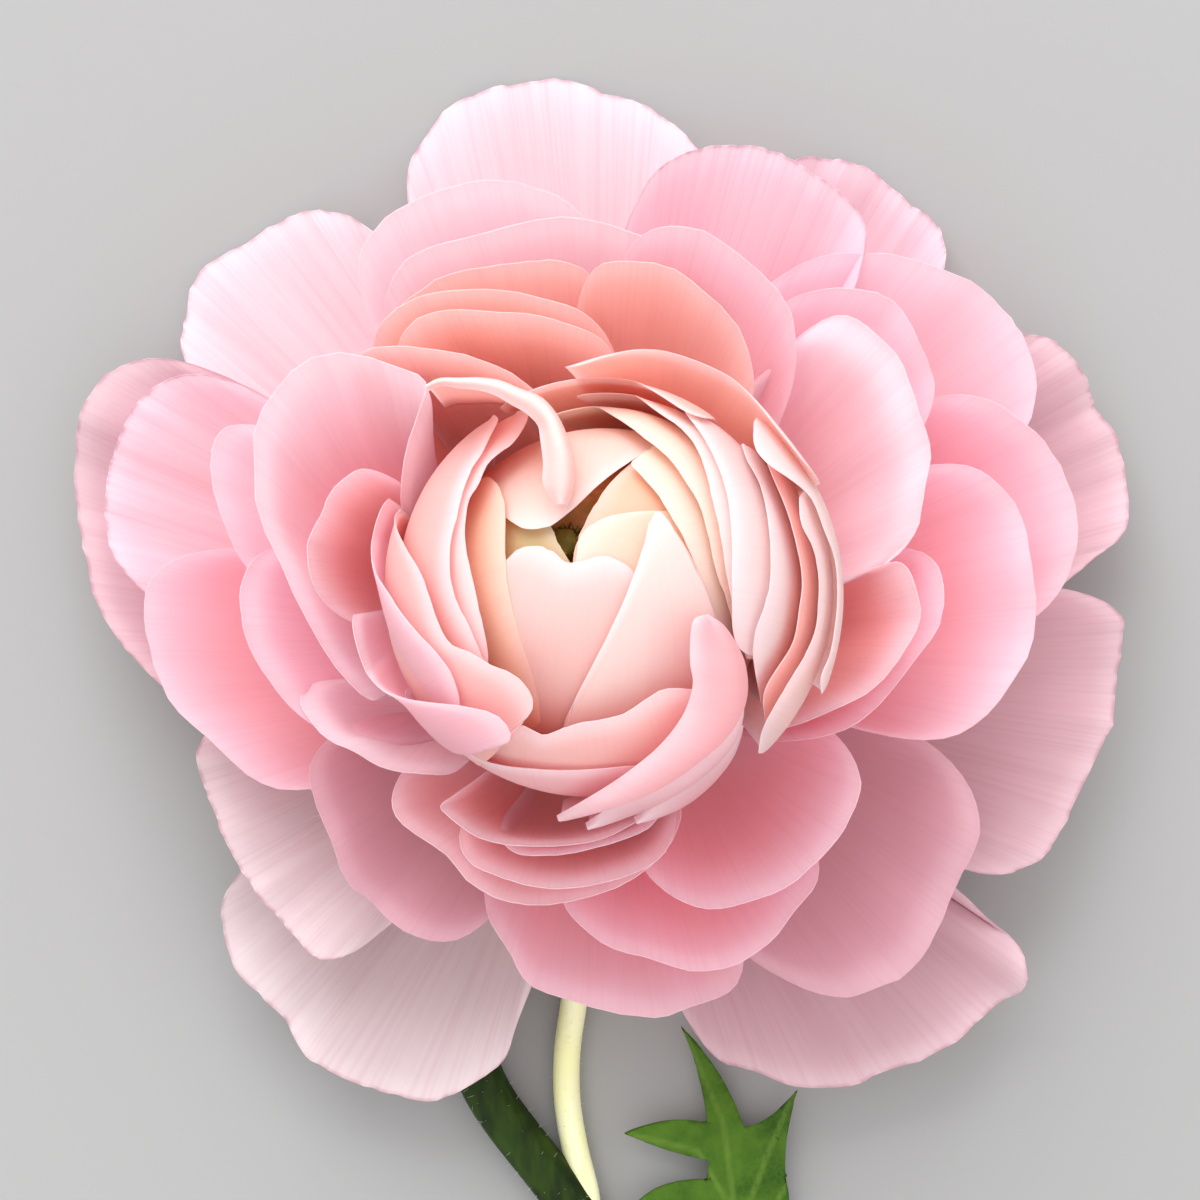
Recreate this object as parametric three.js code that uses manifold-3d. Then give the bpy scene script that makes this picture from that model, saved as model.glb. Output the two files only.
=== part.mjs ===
/**
 * A ranunculus flower, cut and laid on its back on a flat surface.
 *
 * Units are millimetres and +Z is up. The bloom faces up and leans a little toward +Y. Its stem
 * bends below it and lies along -Y. Everything is drawn in the bloom's own frame, whose origin is on
 * the surface below the middle of the bloom, and the group then sets the flower over the part's
 * origin, which is the middle of its bounding box.
 *
 * The petals sit in four whorls. Those of the heart and the bud are pieces of round shells about the
 * bud's centre, and those of the cup and the guard whorl spread from their roots to their free
 * edges. Each whorl is fused to its own core and cut clear of the whorl inside it.
 */
import * as THREE from 'three';
import { mergeVertices } from 'three/addons/utils/BufferGeometryUtils.js';
import Module from 'manifold-3d';

const wasm = await Module();
wasm.setup();

// Driving dimensions of the bloom.
const BUD_CENTRE = new THREE.Vector3(0, 1, 39);
const BLOOM_LEAN = THREE.MathUtils.degToRad(16);
const PETAL_THICKNESS = 0.6;
const CLEARANCE = 0.3;
const BLOOM_OFFSET = new THREE.Vector3(-0.1, 46.3, 0);

// Cores that the petals grow from: radii from the bud's centre, depths below it on the axis, and the
// radius from the bud's centre (shellRoot) or from the axis (rootRadius) where the petals start.
const HEART = { domeRadius: 11.3, outerRadius: 15.9, rimAngle: 78, shellRoot: 12 };
const BUD = { innerRadius: 16.4, outerRadius: 19.7, rimAngle: 74, shellRoot: 18, envelope: 20.3 };
const CUP = {
  innerRadius: 20.3, outerRadius: 25.2, rimAngle: 42, shellRoot: 21.6,
  innerRoot: { rise: 40, depth: 21.4, radius: 5.5 }, outerRoot: { rise: 16, depth: 23.4, radius: 8.5 },
};
const GUARD = {
  innerRoot: { rise: 20, depth: 26.4, radius: 6.5 }, outerRoot: { rise: 0, depth: 27.4, radius: 7 },
  coreRadius: 9, coreTop: 25.6, coreBottom: 28.2,
};
const RECEPTACLE = { top: 28.6, bottom: 32.2, topRadius: 4.6 };

// Petal shape: how far the corners round off, and the polar angle of the bud petals' roots.
const OPEN_CORNER = 0.28;
const WRAPPED_CORNER = 0.14;
const ROOT_POLAR = THREE.MathUtils.degToRad(140);

// Green parts.
const STEM_RADIUS = 2.3;
const SHOOT_RADIUS = 1.3;
const LEAF_THICKNESS = 0.7;

const COLOURS = {
  heart: 0xffe0c8,
  bud: 0xffccc4,
  cup: 0xff9ea6,
  guard: 0xf6dce4,
  carpels: 0x9a8a3a,
  calyx: 0xb4c478,
  stem: 0x1f3c0c,
  shoot: 0xd4e488,
  leaf: 0x46781e,
};

// ---------------------------------------------------------------------------------------------
// Petal outlines. Each edge is the free edge of one petal as seen from above, clockwise round the
// bloom. Guard and cup petals are drawn about the bloom's origin, with the heights of the first
// corner, the tip and the last corner as rise. Heart and bud petals and the cup's loose rims are
// drawn about the bud's centre, on a shell of the given radius, and root is the direction in degrees
// that they grow from.
// ---------------------------------------------------------------------------------------------

/** Large pale petals of the outermost whorl. */
const GUARD_PETALS = [
  {
    // far left
    edge: [[-36.5, -13.5], [-41.5, -9.5], [-45, -5], [-48, -0.5], [-49.5, 5], [-50.5, 10.5],
      [-50, 16], [-48, 21], [-44.5, 24.5], [-40, 26.5]],
    rise: [12, 9, 10],
  },
  {
    // left, in front of it
    edge: [[-41, -4.5], [-45, 2], [-46.5, 6.5], [-46.5, 11.5], [-45.5, 15], [-43.5, 19], [-40, 22],
      [-36.5, 24]],
    rise: [17, 14, 15],
  },
  {
    // upper left
    edge: [[-34, 15], [-38.5, 19.5], [-40.5, 24], [-40.5, 28], [-39, 32], [-34.5, 35], [-30, 37.5],
      [-26, 38], [-22.5, 37], [-19, 35]],
    rise: [13, 1, 9], belly: 1,
  },
  {
    // top
    edge: [[-19.5, 35], [-19.5, 40], [-18.5, 43.5], [-15.5, 48], [-11.5, 49.5], [-8, 50.5], [-4, 51],
      [0, 49.5], [4, 48.5], [7.5, 46.5], [11.5, 44], [14.5, 41]],
    rise: [8, 0.5, 7], belly: 1,
  },
  {
    // far right
    edge: [[37, 28.5], [42, 27], [44.5, 24.5], [47, 21], [48, 18.5], [50, 15.5], [51, 10.5],
      [50.5, 6.5], [49, 4], [48, -1]],
    rise: [10, 6, 10],
  },
  {
    // lower right
    edge: [[45.5, 3.5], [48.5, 1], [50, -2], [49.5, -6.5], [49, -11.5], [47.5, -15], [45, -20],
      [43, -23.5], [41, -25.5], [38, -27], [34, -26.5]],
    rise: [13, 10, 12],
  },
  {
    // bottom right
    edge: [[33, -26.5], [36.5, -29], [38, -31], [40.5, -33.5], [40.5, -37], [39, -38.5], [36, -40.5],
      [34.5, -42], [30.5, -44], [26.5, -45.5], [24, -46.5], [19, -46.5], [15, -45], [11.5, -44],
      [9.5, -42.5], [7.5, -40], [7, -38]],
    rise: [13, 9, 12],
  },
  {
    // bottom left
    edge: [[-5.5, -37.5], [-8.5, -43], [-9.5, -45], [-12.5, -46.5], [-16, -48], [-20, -47.5],
      [-23, -46.5], [-27, -44.5], [-29, -42.5], [-30.5, -40], [-32.5, -38], [-35, -35.5],
      [-36.5, -32], [-37, -29], [-36, -26.5], [-33, -23.5]],
    rise: [13, 8, 12],
  },
  {
    // lower left, with a straight rolled edge
    edge: [[-23.5, -36], [-26.5, -34.5], [-29.5, -31], [-32.5, -27.5], [-35, -23.5], [-37, -19],
      [-39, -14.5], [-40, -9.5]],
    rise: [15, 14, 12],
  },
  {
    // upper right
    edge: [[0, 33.5], [4, 39.5], [7.5, 42], [11.5, 43], [16, 42.5], [20.5, 40], [25.5, 36.5],
      [27.5, 32.5]],
    rise: [16, 14, 17],
  },
  {
    // upper right, behind it
    edge: [[15, 41.5], [19, 43.5], [23, 43], [27, 41.5], [30.5, 38.5], [33, 36.5], [34, 33],
      [34, 29.5]],
    rise: [10, 1, 10],
  },
];

/** Open petals in rings round the bud, from the lowest to the innermost. */
const CUP_PETALS = [
  {
    // upper right
    edge: [[14, 33.5], [20.5, 34], [25, 33], [28.5, 32.5], [33, 31], [36, 29.5], [38.5, 27],
      [40, 25], [41.5, 21.5], [42.5, 17.5], [43, 14]],
    rise: [16, 14, 15],
  },
  {
    // right
    edge: [[31, 21.5], [35, 20], [39, 17], [42, 14], [44, 10], [44.5, 6.5], [44, 3], [42.5, -1],
      [40.5, -4.5]],
    rise: [20, 19, 19], belly: 5,
  },
  {
    // right, in front
    edge: [[28.5, 14], [33, 13.5], [36, 11.5], [38.5, 8], [39.5, 4], [40, 0], [39.5, -4.5],
      [36.5, -9.5], [33, -12.5], [28.5, -13], [24.5, -11.5]],
    rise: [23, 24, 22], belly: 3.5,
  },
  {
    // left, low
    edge: [[-25, -19], [-31.5, -18], [-36, -13.5], [-40, -9.5], [-42, -4.5], [-42.5, 0], [-41, 3],
      [-37.5, 5], [-34, 6]],
    rise: [17, 19, 18],
  },
  {
    // lower left
    edge: [[-9.5, -32], [-14, -32.5], [-18.5, -30.5], [-21, -28], [-23.5, -26], [-25, -22],
      [-26.5, -18.5], [-27.5, -15], [-26, -11]],
    rise: [20, 21, 20],
  },
  {
    // lower right
    edge: [[32.5, -12], [34.5, -15.5], [35.5, -19.5], [35, -23], [33.5, -26], [32, -29.5],
      [30.5, -32.5], [28.5, -35], [25, -36.5], [22.5, -37.5], [18.5, -37.5], [13, -37]],
    rise: [21, 19, 18],
  },
  {
    // bottom, outermost
    edge: [[16, -32.5], [13.5, -36.5], [9, -37.5], [5.5, -38.5], [1, -38], [-2.5, -37],
      [-6.5, -35.5], [-8.5, -32.5], [-11, -29.5], [-12.5, -26]],
    rise: [20, 22, 20], belly: 6,
  },
  {
    // bottom, second
    edge: [[22.5, -21], [21, -25.5], [18, -28], [15.5, -31], [12, -33], [8, -33.5], [4.5, -32.5],
      [1, -31.5], [-2, -29.5], [-4, -27.5], [-5.5, -24.5]],
    rise: [26, 28, 26], fan: 36, belly: 5,
  },
  {
    // bottom right, third
    edge: [[24, -11], [24, -15.5], [23, -18], [21.5, -21], [19, -23.5], [16, -26], [12.5, -27],
      [9, -27.5], [5.5, -26.5], [2, -25]],
    rise: [30, 33, 31], belly: 7,
  },
  {
    // top left
    edge: [[-23.5, 27], [-23, 31.5], [-20.5, 35], [-16.5, 37.5], [-11, 39], [-6.5, 38.5], [-2, 37],
      [2, 34.5]],
    rise: [20, 20, 20], belly: 4,
  },
  {
    // left, second
    edge: [[-27.5, -1], [-32, 2.5], [-34.5, 7.5], [-35.5, 12], [-35, 15.5], [-33, 19]],
    rise: [24, 26, 24],
  },
  {
    // left, third
    edge: [[-16, -15], [-22.5, -13], [-27, -10], [-29.5, -7], [-31.5, -3.5], [-32, 0], [-31.5, 4],
      [-29.5, 7.5]],
    rise: [29, 32, 29], belly: 5,
  },
  {
    // top, second
    edge: [[-24, 26.5], [-20, 30], [-16.5, 32], [-11, 33.5], [-3.5, 35], [3.5, 33.5], [9, 31],
      [13, 27.5], [15, 23.5]],
    rise: [24, 25, 25], belly: 5,
  },
  {
    // top right, second
    edge: [[0, 33], [4.5, 34], [9, 33.5], [13.5, 30.5], [17, 26.5], [18, 22], [18.5, 17.5]],
    rise: [27, 29, 27], belly: 5,
  },
  {
    // upper right, third
    edge: [[15.5, 31], [23, 29], [27, 27.5], [29.5, 23.5], [31, 19], [30.5, 13.5]],
    rise: [22, 23, 22], belly: 5,
  },
  {
    // top right, fourth
    edge: [[-3.5, 29], [0, 30.5], [5.5, 30], [9, 28], [12.5, 24], [14, 19.5], [14, 16]],
    rise: [30, 32, 30], belly: 5,
  },
  {
    // top, third
    edge: [[-22, 24.5], [-18, 27], [-13.5, 29.5], [-7, 30.5], [-2, 30.5], [2.5, 28]],
    rise: [27, 29, 27], belly: 5,
  },
  {
    // top, fourth
    edge: [[-23.5, 20.5], [-20.5, 24.5], [-17, 26.5], [-13.5, 27.5], [-9, 27.5], [-3.5, 26.5],
      [0, 25], [3.5, 22.5]],
    rise: [32, 34, 32], belly: 5,
  },
  {
    // top, fifth
    edge: [[-20.5, 22.0], [-18.5, 23.5], [-16.0, 25.0], [-12.5, 25.5], [-9.0, 25.5], [-5.0, 25.0],
      [-1.5, 24.0], [1.0, 23.0], [3.0, 21.5]],
    rise: [34, 36, 34], belly: 5,
  },
  {
    // right, broad rim
    edge: [[15.5, 25], [20.5, 26], [23.5, 23.5], [26, 20.5], [27.5, 16.5], [28.5, 12.5], [28, 9],
      [27.5, 5.5], [25.5, 2.5], [21.5, 0.5]],
    rise: [31, 33, 31], belly: 6, curl: 2,
  },
  {
    // lower left, with a broad pale rim
    edge: [[-28.5, -5.5], [-27.0, -9.0], [-24.5, -12.0], [-21.5, -13.5], [-18.5, -15.0],
      [-15.0, -15.5], [-12.5, -15.5], [-10.5, -14.5]],
    rise: [31, 32, 31], belly: 4.5,
  },
  {
    // lower right, second
    edge: [[26.5, 7], [30, 4.5], [31, 1], [30.5, -2], [29, -4.5], [26, -8.5], [22.5, -11.5],
      [18, -13], [13, -14]],
    rise: [28, 30, 28], belly: 6,
  },
  {
    // lower right, third
    edge: [[24, 2.5], [27, 3.5], [28.5, -0.5], [27, -4.5], [24, -8], [19.5, -10.5], [14, -13.5]],
    rise: [31, 34, 31], belly: 6,
  },
  {
    // bottom cup
    edge: [[8, -16], [8, -19], [6, -22.5], [2, -25.5], [-3.5, -27], [-8, -27], [-11.5, -25.5],
      [-14, -22.5], [-18, -20], [-19.5, -17.5], [-20, -14]],
    rise: [30, 31, 30], belly: 4.5,
  },
  {
    // bottom cup, second
    edge: [[9, -17.5], [5.5, -23], [0, -25], [-4.5, -25.5], [-9, -24.5], [-12, -23], [-14.5, -20.5]],
    rise: [33, 34, 33], belly: 4.5,
  },
  {
    // bottom cup, third
    edge: [[7, -17.5], [4.5, -20], [2, -21], [-2, -22], [-5.5, -22.5], [-8, -22], [-10.5, -20.5]],
    rise: [35, 36, 35], belly: 4.5,
  },
  {
    // bottom cup, innermost
    edge: [[8, -17.5], [3.5, -19.5], [0, -21], [-5, -21.5], [-9.5, -21], [-12.5, -19.5], [-14, -18],
      [-13, -17], [-10.5, -15]],
    rise: [36, 38, 36], belly: 4.5,
  },
  {
    // top left, innermost
    edge: [[-24, 20], [-21, 22], [-15, 22], [-10.5, 21], [-7, 19.5], [-3.5, 17.5]],
    rise: [37, 38, 37], belly: 6,
  },
  {
    // left, tall and folded at its rim
    edge: [[-19.5, -9.0], [-20.0, -10.0], [-22.0, -7.5], [-24.0, -4.0], [-26.0, 0.0], [-27.5, 4.0],
      [-29.0, 8.0], [-29.0, 12.0], [-29.0, 15.5], [-27.5, 18.0], [-26.0, 20.0], [-23.5, 21.5],
      [-20.0, 21.5], [-17.0, 20.5], [-14.5, 19.5], [-14.0, 18.5], [-14.5, 16.5], [-15.5, 14.5],
      [-16.5, 11.5], [-17.0, 8.5], [-17.5, 6.5]],
    rise: [34, 39, 41], root: 170, fan: 40, belly: 6, curl: 2,
  },
  {
    // left, innermost
    edge: [[-22.5, -3.5], [-25.5, 2.5], [-24, 8], [-21.5, 11], [-18.5, 12]],
    rise: [39, 41, 40], belly: 6,
  },
];

/** Loose petals with free rims between the cup and the bud. */
const CUP_RIMS = [
  {
    // left, loose
    edge: [[-13.5, -10.75], [-11.75, -10.25], [-11.5, -9.25], [-12.25, -7.0], [-13.5, -5.25],
      [-15.0, -3.75], [-16.5, -2.0], [-17.75, -0.25], [-19.0, 1.5], [-19.5, 3.75],
      [-19.25, 6.25], [-19.0, 8.5]],
    shell: 20.7, root: 195, fan: 60,
  },
  {
    // right, loose and pointed
    edge: [[12.0, 13.75], [12.5, 13.5], [12.75, 11.75], [14.0, 10.25], [16.0, 9.0], [17.75, 7.5],
      [18.75, 5.0], [19.75, 2.5], [20.0, -0.5], [19.75, -3.5], [19.25, -5.75], [18.25, -7.25],
      [17.5, -8.5]],
    shell: 21.2, root: 8, fan: 60,
  },
  {
    // right, second loose rim
    edge: [[15.5, 7.75], [16.25, 7.25], [16.75, 5.25], [17.75, 3.5], [18.25, 1.25], [18.25, -1.0],
      [18.0, -3.5], [17.0, -5.75], [15.75, -7.75], [14.5, -9.75], [13.25, -11.5], [12.25, -13.0]],
    shell: 20.7, root: -12, fan: 60,
  },
  {
    // lower right, rounded tip over the front band
    edge: [[12.0, -11.0], [12.25, -9.0], [12.0, -6.75], [11.5, -4.5], [10.25, -3.0], [9.0, -2.0],
      [8.0, -2.5], [7.5, -3.75], [7.5, -5.75], [7.75, -7.75], [7.25, -10.0], [6.25, -11.75],
      [4.75, -13.25], [3.0, -15.0], [1.0, -16.5], [-1.25, -17.75], [-3.5, -19.0],
      [-3.75, -19.75]],
    shell: 21.3, root: -87, fan: 24,
  },
  {
    // lower right, behind it
    edge: [[13.0, -8.5], [12.0, -10.75], [10.25, -13.0], [8.5, -14.75], [6.5, -16.5], [4.25, -18.0],
      [1.75, -19.25], [0.0, -20.0], [-1.75, -20.5]],
    shell: 22.2, root: -66, fan: 40,
  },
  {
    // top right, loose
    edge: [[-3.25, 17.25], [-1.5, 18.5], [0.75, 19.5], [3.75, 20.25], [7.5, 20.0], [10.5, 18.5],
      [12.75, 16.25], [15.0, 13.25], [17.0, 10.5], [18.25, 8.5]],
    shell: 21.6, root: 58, fan: 60,
  },
  {
    // lower left, loose
    edge: [[-20.0, -9.75], [-18.5, -10.0], [-16.75, -11.0], [-14.25, -11.5], [-12.25, -11.75],
      [-10.75, -12.25], [-9.0, -12.75], [-7.75, -12.75], [-7.25, -12.0], [-8.25, -10.5],
      [-10.75, -9.75], [-13.5, -9.5], [-16.0, -9.25], [-18.0, -8.75], [-19.75, -7.5],
      [-21.5, -6.0], [-22.5, -4.0], [-22.75, -2.5]],
    shell: 22.2, root: -158, fan: 36, tuck: 1.0,
  },
];

/** Petals packed round the slit, from the inside out. */
const HEART_PETALS = [
  {
    // olive, left of the slit
    edge: [[-0.75, -0.25], [-3.5, 2.5], [-6.75, 4], [-10.5, 5.5]],
    shell: 11.8, root: 150, fan: 90,
  },
  {
    // olive, right of the slit
    edge: [[8.5, 9.25], [3.5, 7.5], [-0.75, 5], [-3, 2.75], [-3.5, -1]],
    shell: 12.4, root: -10, fan: 90,
  },
  {
    // back of the slit
    edge: [[-10, 9.25], [-8.75, 8.25], [-6.75, 6.25], [-3.5, 5.75], [-0.75, 7.25], [1, 9.5],
      [4.5, 12]],
    shell: 13.1, root: 90,
  },
  {
    // right lip of the slit
    edge: [[8.5, 4], [5.75, 6], [3.75, 6.25], [0.5, 5.75], [-1.5, 4.5], [-2.25, 2.25], [-3.25, -2.75]],
    shell: 13.1, root: -30,
  },
  {
    // left strip
    edge: [[-3.5, -9.5], [-6, -5.25], [-7.5, 0.75], [-7.75, 7], [-9.25, 9.25], [-10.5, 7.5],
      [-11.25, 2.5]],
    shell: 13.8, root: 200,
  },
  {
    // front
    edge: [[0, -6], [-0.75, -1], [-2, 2.5], [-4.75, 3.5], [-6.75, 2.75], [-7.25, -1.75], [-7.25, -7]],
    shell: 14.4, root: -95,
  },
  {
    // front right
    edge: [[9.5, -8.75], [8.75, -2.75], [6.75, 2.25], [4.25, 5], [3.25, 3.25], [1.5, -2.75],
      [-0.75, -8.5], [-2.5, -12.5]],
    shell: 15.1, root: -60,
  },
  {
    // right, first strip
    edge: [[8.75, 11.75], [5.25, 11.25], [2.5, 10.5], [3.5, 8.5], [6, 5.5], [8, 1.5], [9, -2.75],
      [8.75, -7.75]],
    shell: 14.4, root: 15, fan: 80,
  },
  {
    // right, second strip
    edge: [[-4.25, 15.25], [0, 15.25], [4.25, 12.75], [7.75, 9.25], [9.75, 5], [10.75, -0.25],
      [10.5, -6]],
    shell: 15.7, root: 20,
  },
];

/** Petals that wrap the heart, from the inside out. */
const BUD_PETALS = [
  {
    // right, third strip
    edge: [[-5.5, 16], [0, 17], [5, 14.5], [9, 11], [11.5, 6], [13, 0], [12.5, -6]],
    shell: 17.1, root: 20,
  },
  {
    // right, fourth strip
    edge: [[-5, 17], [1.5, 17], [7.5, 14.5], [11.5, 11], [13.5, 6.5], [14.5, 0.5], [14, -4.5],
      [12.5, -9]],
    shell: 17.7, root: 15,
  },
  {
    // top rim
    edge: [[-12, 15], [-8, 18], [-3.5, 19], [1.5, 17], [7, 15], [11.5, 11]],
    shell: 18.9, root: 80,
  },
  {
    // tip that folds over the back
    edge: [[-9.5, 14.5], [-7.5, 15.5], [-5, 12.5], [-4.5, 8], [-3, 6.5], [-2.5, 9], [-2.5, 13.5],
      [-4, 17]],
    shell: 18.3, root: 108, fan: 30,
  },
  {
    // left, first strip
    edge: [[-5.5, -9.5], [-9, -5.5], [-10.5, 0], [-11, 5.5], [-9.5, 9.5], [-7, 13.5], [-6, 15.5]],
    shell: 17.1, root: 185,
  },
  {
    // left, second strip
    edge: [[-6, -11], [-10, -7], [-12, -2], [-12.5, 3.5], [-12, 8], [-9.5, 12.5], [-8, 15.5]],
    shell: 17.7, root: 190,
  },
  {
    // front band
    edge: [[10, -8.5], [7.5, -7.5], [3.5, -9.5], [-1.5, -11.5], [-6, -11.5], [-8.5, -12],
      [-11, -13.5]],
    shell: 18.3, root: -90,
  },
  {
    // front band, second
    edge: [[8.5, -11], [4, -13.5], [0, -15], [-5, -15], [-10.5, -14], [-14, -12], [-15.5, -9.5]],
    shell: 18.9, root: -95,
  },
];

// ---------------------------------------------------------------------------------------------
// Solids
// ---------------------------------------------------------------------------------------------

/** A closed geometry as a solid. */
function toSolid(geometry) {
  const bare = geometry.clone();
  bare.deleteAttribute('normal');
  bare.deleteAttribute('uv');
  const merged = mergeVertices(bare, 1e-4);
  return new wasm.Manifold(new wasm.Mesh({
    numProp: 3,
    vertProperties: new Float32Array(merged.attributes.position.array),
    triVerts: new Uint32Array(merged.index.array),
  }));
}

/** A solid as a geometry with flat faces. */
function toGeometry(solid) {
  const mesh = solid.getMesh();
  const positions = new Float32Array(mesh.numVert * 3);
  for (let i = 0; i < mesh.numVert; i++) {
    for (let axis = 0; axis < 3; axis++) {
      positions[3 * i + axis] = mesh.vertProperties[mesh.numProp * i + axis];
    }
  }
  const geometry = new THREE.BufferGeometry();
  geometry.setAttribute('position', new THREE.BufferAttribute(positions, 3));
  geometry.setIndex(new THREE.BufferAttribute(new Uint32Array(mesh.triVerts), 1));
  const flat = geometry.toNonIndexed();
  flat.computeVertexNormals();
  return flat;
}

/** All solids joined. */
function join(solids) {
  return solids.reduce((joined, solid) => joined.add(solid));
}

/** The largest connected body: sealed hollows are filled and loose scraps are dropped. */
function largestBody(solid) {
  return solid.decompose().reduce((best, body) => (body.volume() > best.volume() ? body : best));
}

/** What lies below the surface that the flower rests on. */
function belowSurface() {
  const SIZE = 600;
  return toSolid(new THREE.BoxGeometry(SIZE, SIZE, SIZE).translate(0, 0, -SIZE / 2));
}

// ---------------------------------------------------------------------------------------------
// Petals
// ---------------------------------------------------------------------------------------------

const AXIS = new THREE.Vector3(0, Math.sin(BLOOM_LEAN), Math.cos(BLOOM_LEAN));
const AXIS_SIDE = new THREE.Vector3(1, 0, 0);
const AXIS_FRONT = new THREE.Vector3(0, Math.cos(BLOOM_LEAN), -Math.sin(BLOOM_LEAN));
const TURN_TO_AXIS = new THREE.Quaternion().setFromUnitVectors(new THREE.Vector3(0, 1, 0), AXIS);

/** The point on the bloom's axis this far below the bud's centre. */
function onAxis(depth) {
  return BUD_CENTRE.clone().addScaledVector(AXIS, -depth);
}

/** The point at this depth, turn (radians) and distance from the bloom's axis. */
function aroundAxis(depth, turn, distance) {
  return onAxis(depth)
    .addScaledVector(AXIS_SIDE, Math.cos(turn) * distance)
    .addScaledVector(AXIS_FRONT, Math.sin(turn) * distance);
}

/** The parabola through the values at t = 0, 0.5 and 1. */
function parabola([start, middle, end], t) {
  return start * (2 * t - 1) * (t - 1) + middle * 4 * t * (1 - t) + end * t * (2 * t - 1);
}

/** Where an open petal starts: the lower its tip, the lower and farther out its root. */
function rootOf({ innerRoot, outerRoot }, tipRise) {
  const share = THREE.MathUtils.inverseLerp(innerRoot.rise, outerRoot.rise, tipRise);
  return {
    depth: THREE.MathUtils.lerp(innerRoot.depth, outerRoot.depth, share),
    radius: THREE.MathUtils.lerp(innerRoot.radius, outerRoot.radius, share),
  };
}

/** How much of the petal's length is left at t across it, so that its corners are round. */
function roundedCorner(t, amount) {
  return 1 - amount * Math.abs(2 * t - 1) ** 7;
}

/**
 * A petal that spreads from its root to its free edge. Each line from root to edge is a quadratic
 * Bezier curve, bowed outward by belly at its middle and by cup more along the petal's midrib, and
 * curl turns the last part of the petal outward.
 */
function openPetal(whorl, { edge, rise, root, fan = 50, belly = 4, cup = 1.5, curl = 0 }) {
  const last = edge.length - 1;
  const edgePoints = edge.map(([x, y], i) => new THREE.Vector3(x, y, parabola(rise, i / last)));
  const edgeCurve = new THREE.CatmullRomCurve3(edgePoints, false, 'catmullrom', 0.5);
  const middle = edgePoints.reduce((sum, point) => sum.add(point), new THREE.Vector3())
    .divideScalar(edge.length);
  const { depth, radius } = rootOf(whorl, rise[1]);
  const foot = onAxis(depth);
  const turn = root === undefined
    ? Math.atan2(middle.y - foot.y, middle.x - foot.x)
    : THREE.MathUtils.degToRad(root);
  const out = new THREE.Vector3(Math.cos(turn), Math.sin(turn), 0);
  const along = middle.clone().sub(foot).normalize();
  const outward = out.clone().addScaledVector(along, -out.dot(along));
  const down = new THREE.Vector3(0, 0, -1);
  const bow = down.clone().addScaledVector(along, -down.dot(along)).add(outward).normalize();
  const curlWay = down.clone().multiplyScalar(0.8).addScaledVector(out, 0.5);
  const fanAngle = THREE.MathUtils.degToRad(fan);

  return (t, v) => {
    const rootPoint = aroundAxis(depth, turn - (t - 0.5) * fanAngle, radius);
    const edgePoint = edgeCurve.getPoint(t);
    const bowPoint = rootPoint.clone().lerp(edgePoint, 0.5).addScaledVector(bow, 2 * belly);
    const s = v * roundedCorner(t, OPEN_CORNER);
    const acrossRib = 4 * t * (1 - t);
    return rootPoint.multiplyScalar((1 - s) ** 2)
      .addScaledVector(bowPoint, 2 * s * (1 - s))
      .addScaledVector(edgePoint, s * s)
      .addScaledVector(bow, cup * acrossRib * Math.sin(Math.PI * s))
      .addScaledVector(curlWay, curl * s ** 8);
  };
}

/**
 * A petal that is a piece of a round shell about the bud's centre. Each line from root to edge is an
 * arc of a great circle, and tuck sinks the first corner by that much and lifts the last one.
 */
function wrappedPetal(whorl, { edge, shell, root, fan = 60, tuck = 0 }) {
  const edgeCurve = new THREE.CatmullRomCurve3(
    edge.map(([x, y]) => new THREE.Vector3(x, y, 0)), false, 'catmullrom', 0.5);
  const turn = THREE.MathUtils.degToRad(root);
  const fanAngle = THREE.MathUtils.degToRad(fan);
  const LIMIT = 0.999;

  return (t, v) => {
    const end = edgeCurve.getPoint(t);
    end.multiplyScalar(Math.min(1, LIMIT * shell / end.length()));
    end.z = Math.sqrt(shell * shell - end.lengthSq());
    end.divideScalar(shell);
    const around = turn - (t - 0.5) * fanAngle;
    const start = new THREE.Vector3(Math.sin(ROOT_POLAR) * Math.cos(around),
      Math.sin(ROOT_POLAR) * Math.sin(around), Math.cos(ROOT_POLAR));
    const angle = start.angleTo(end);
    const s = v * roundedCorner(t, WRAPPED_CORNER);
    const radius = shell + tuck * (2 * t - 1);
    return start.multiplyScalar(Math.sin((1 - s) * angle) / Math.sin(angle))
      .addScaledVector(end, Math.sin(s * angle) / Math.sin(angle))
      .multiplyScalar(radius + (whorl.shellRoot - radius) * (1 - s) ** 4)
      .add(BUD_CENTRE);
  };
}

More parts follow.
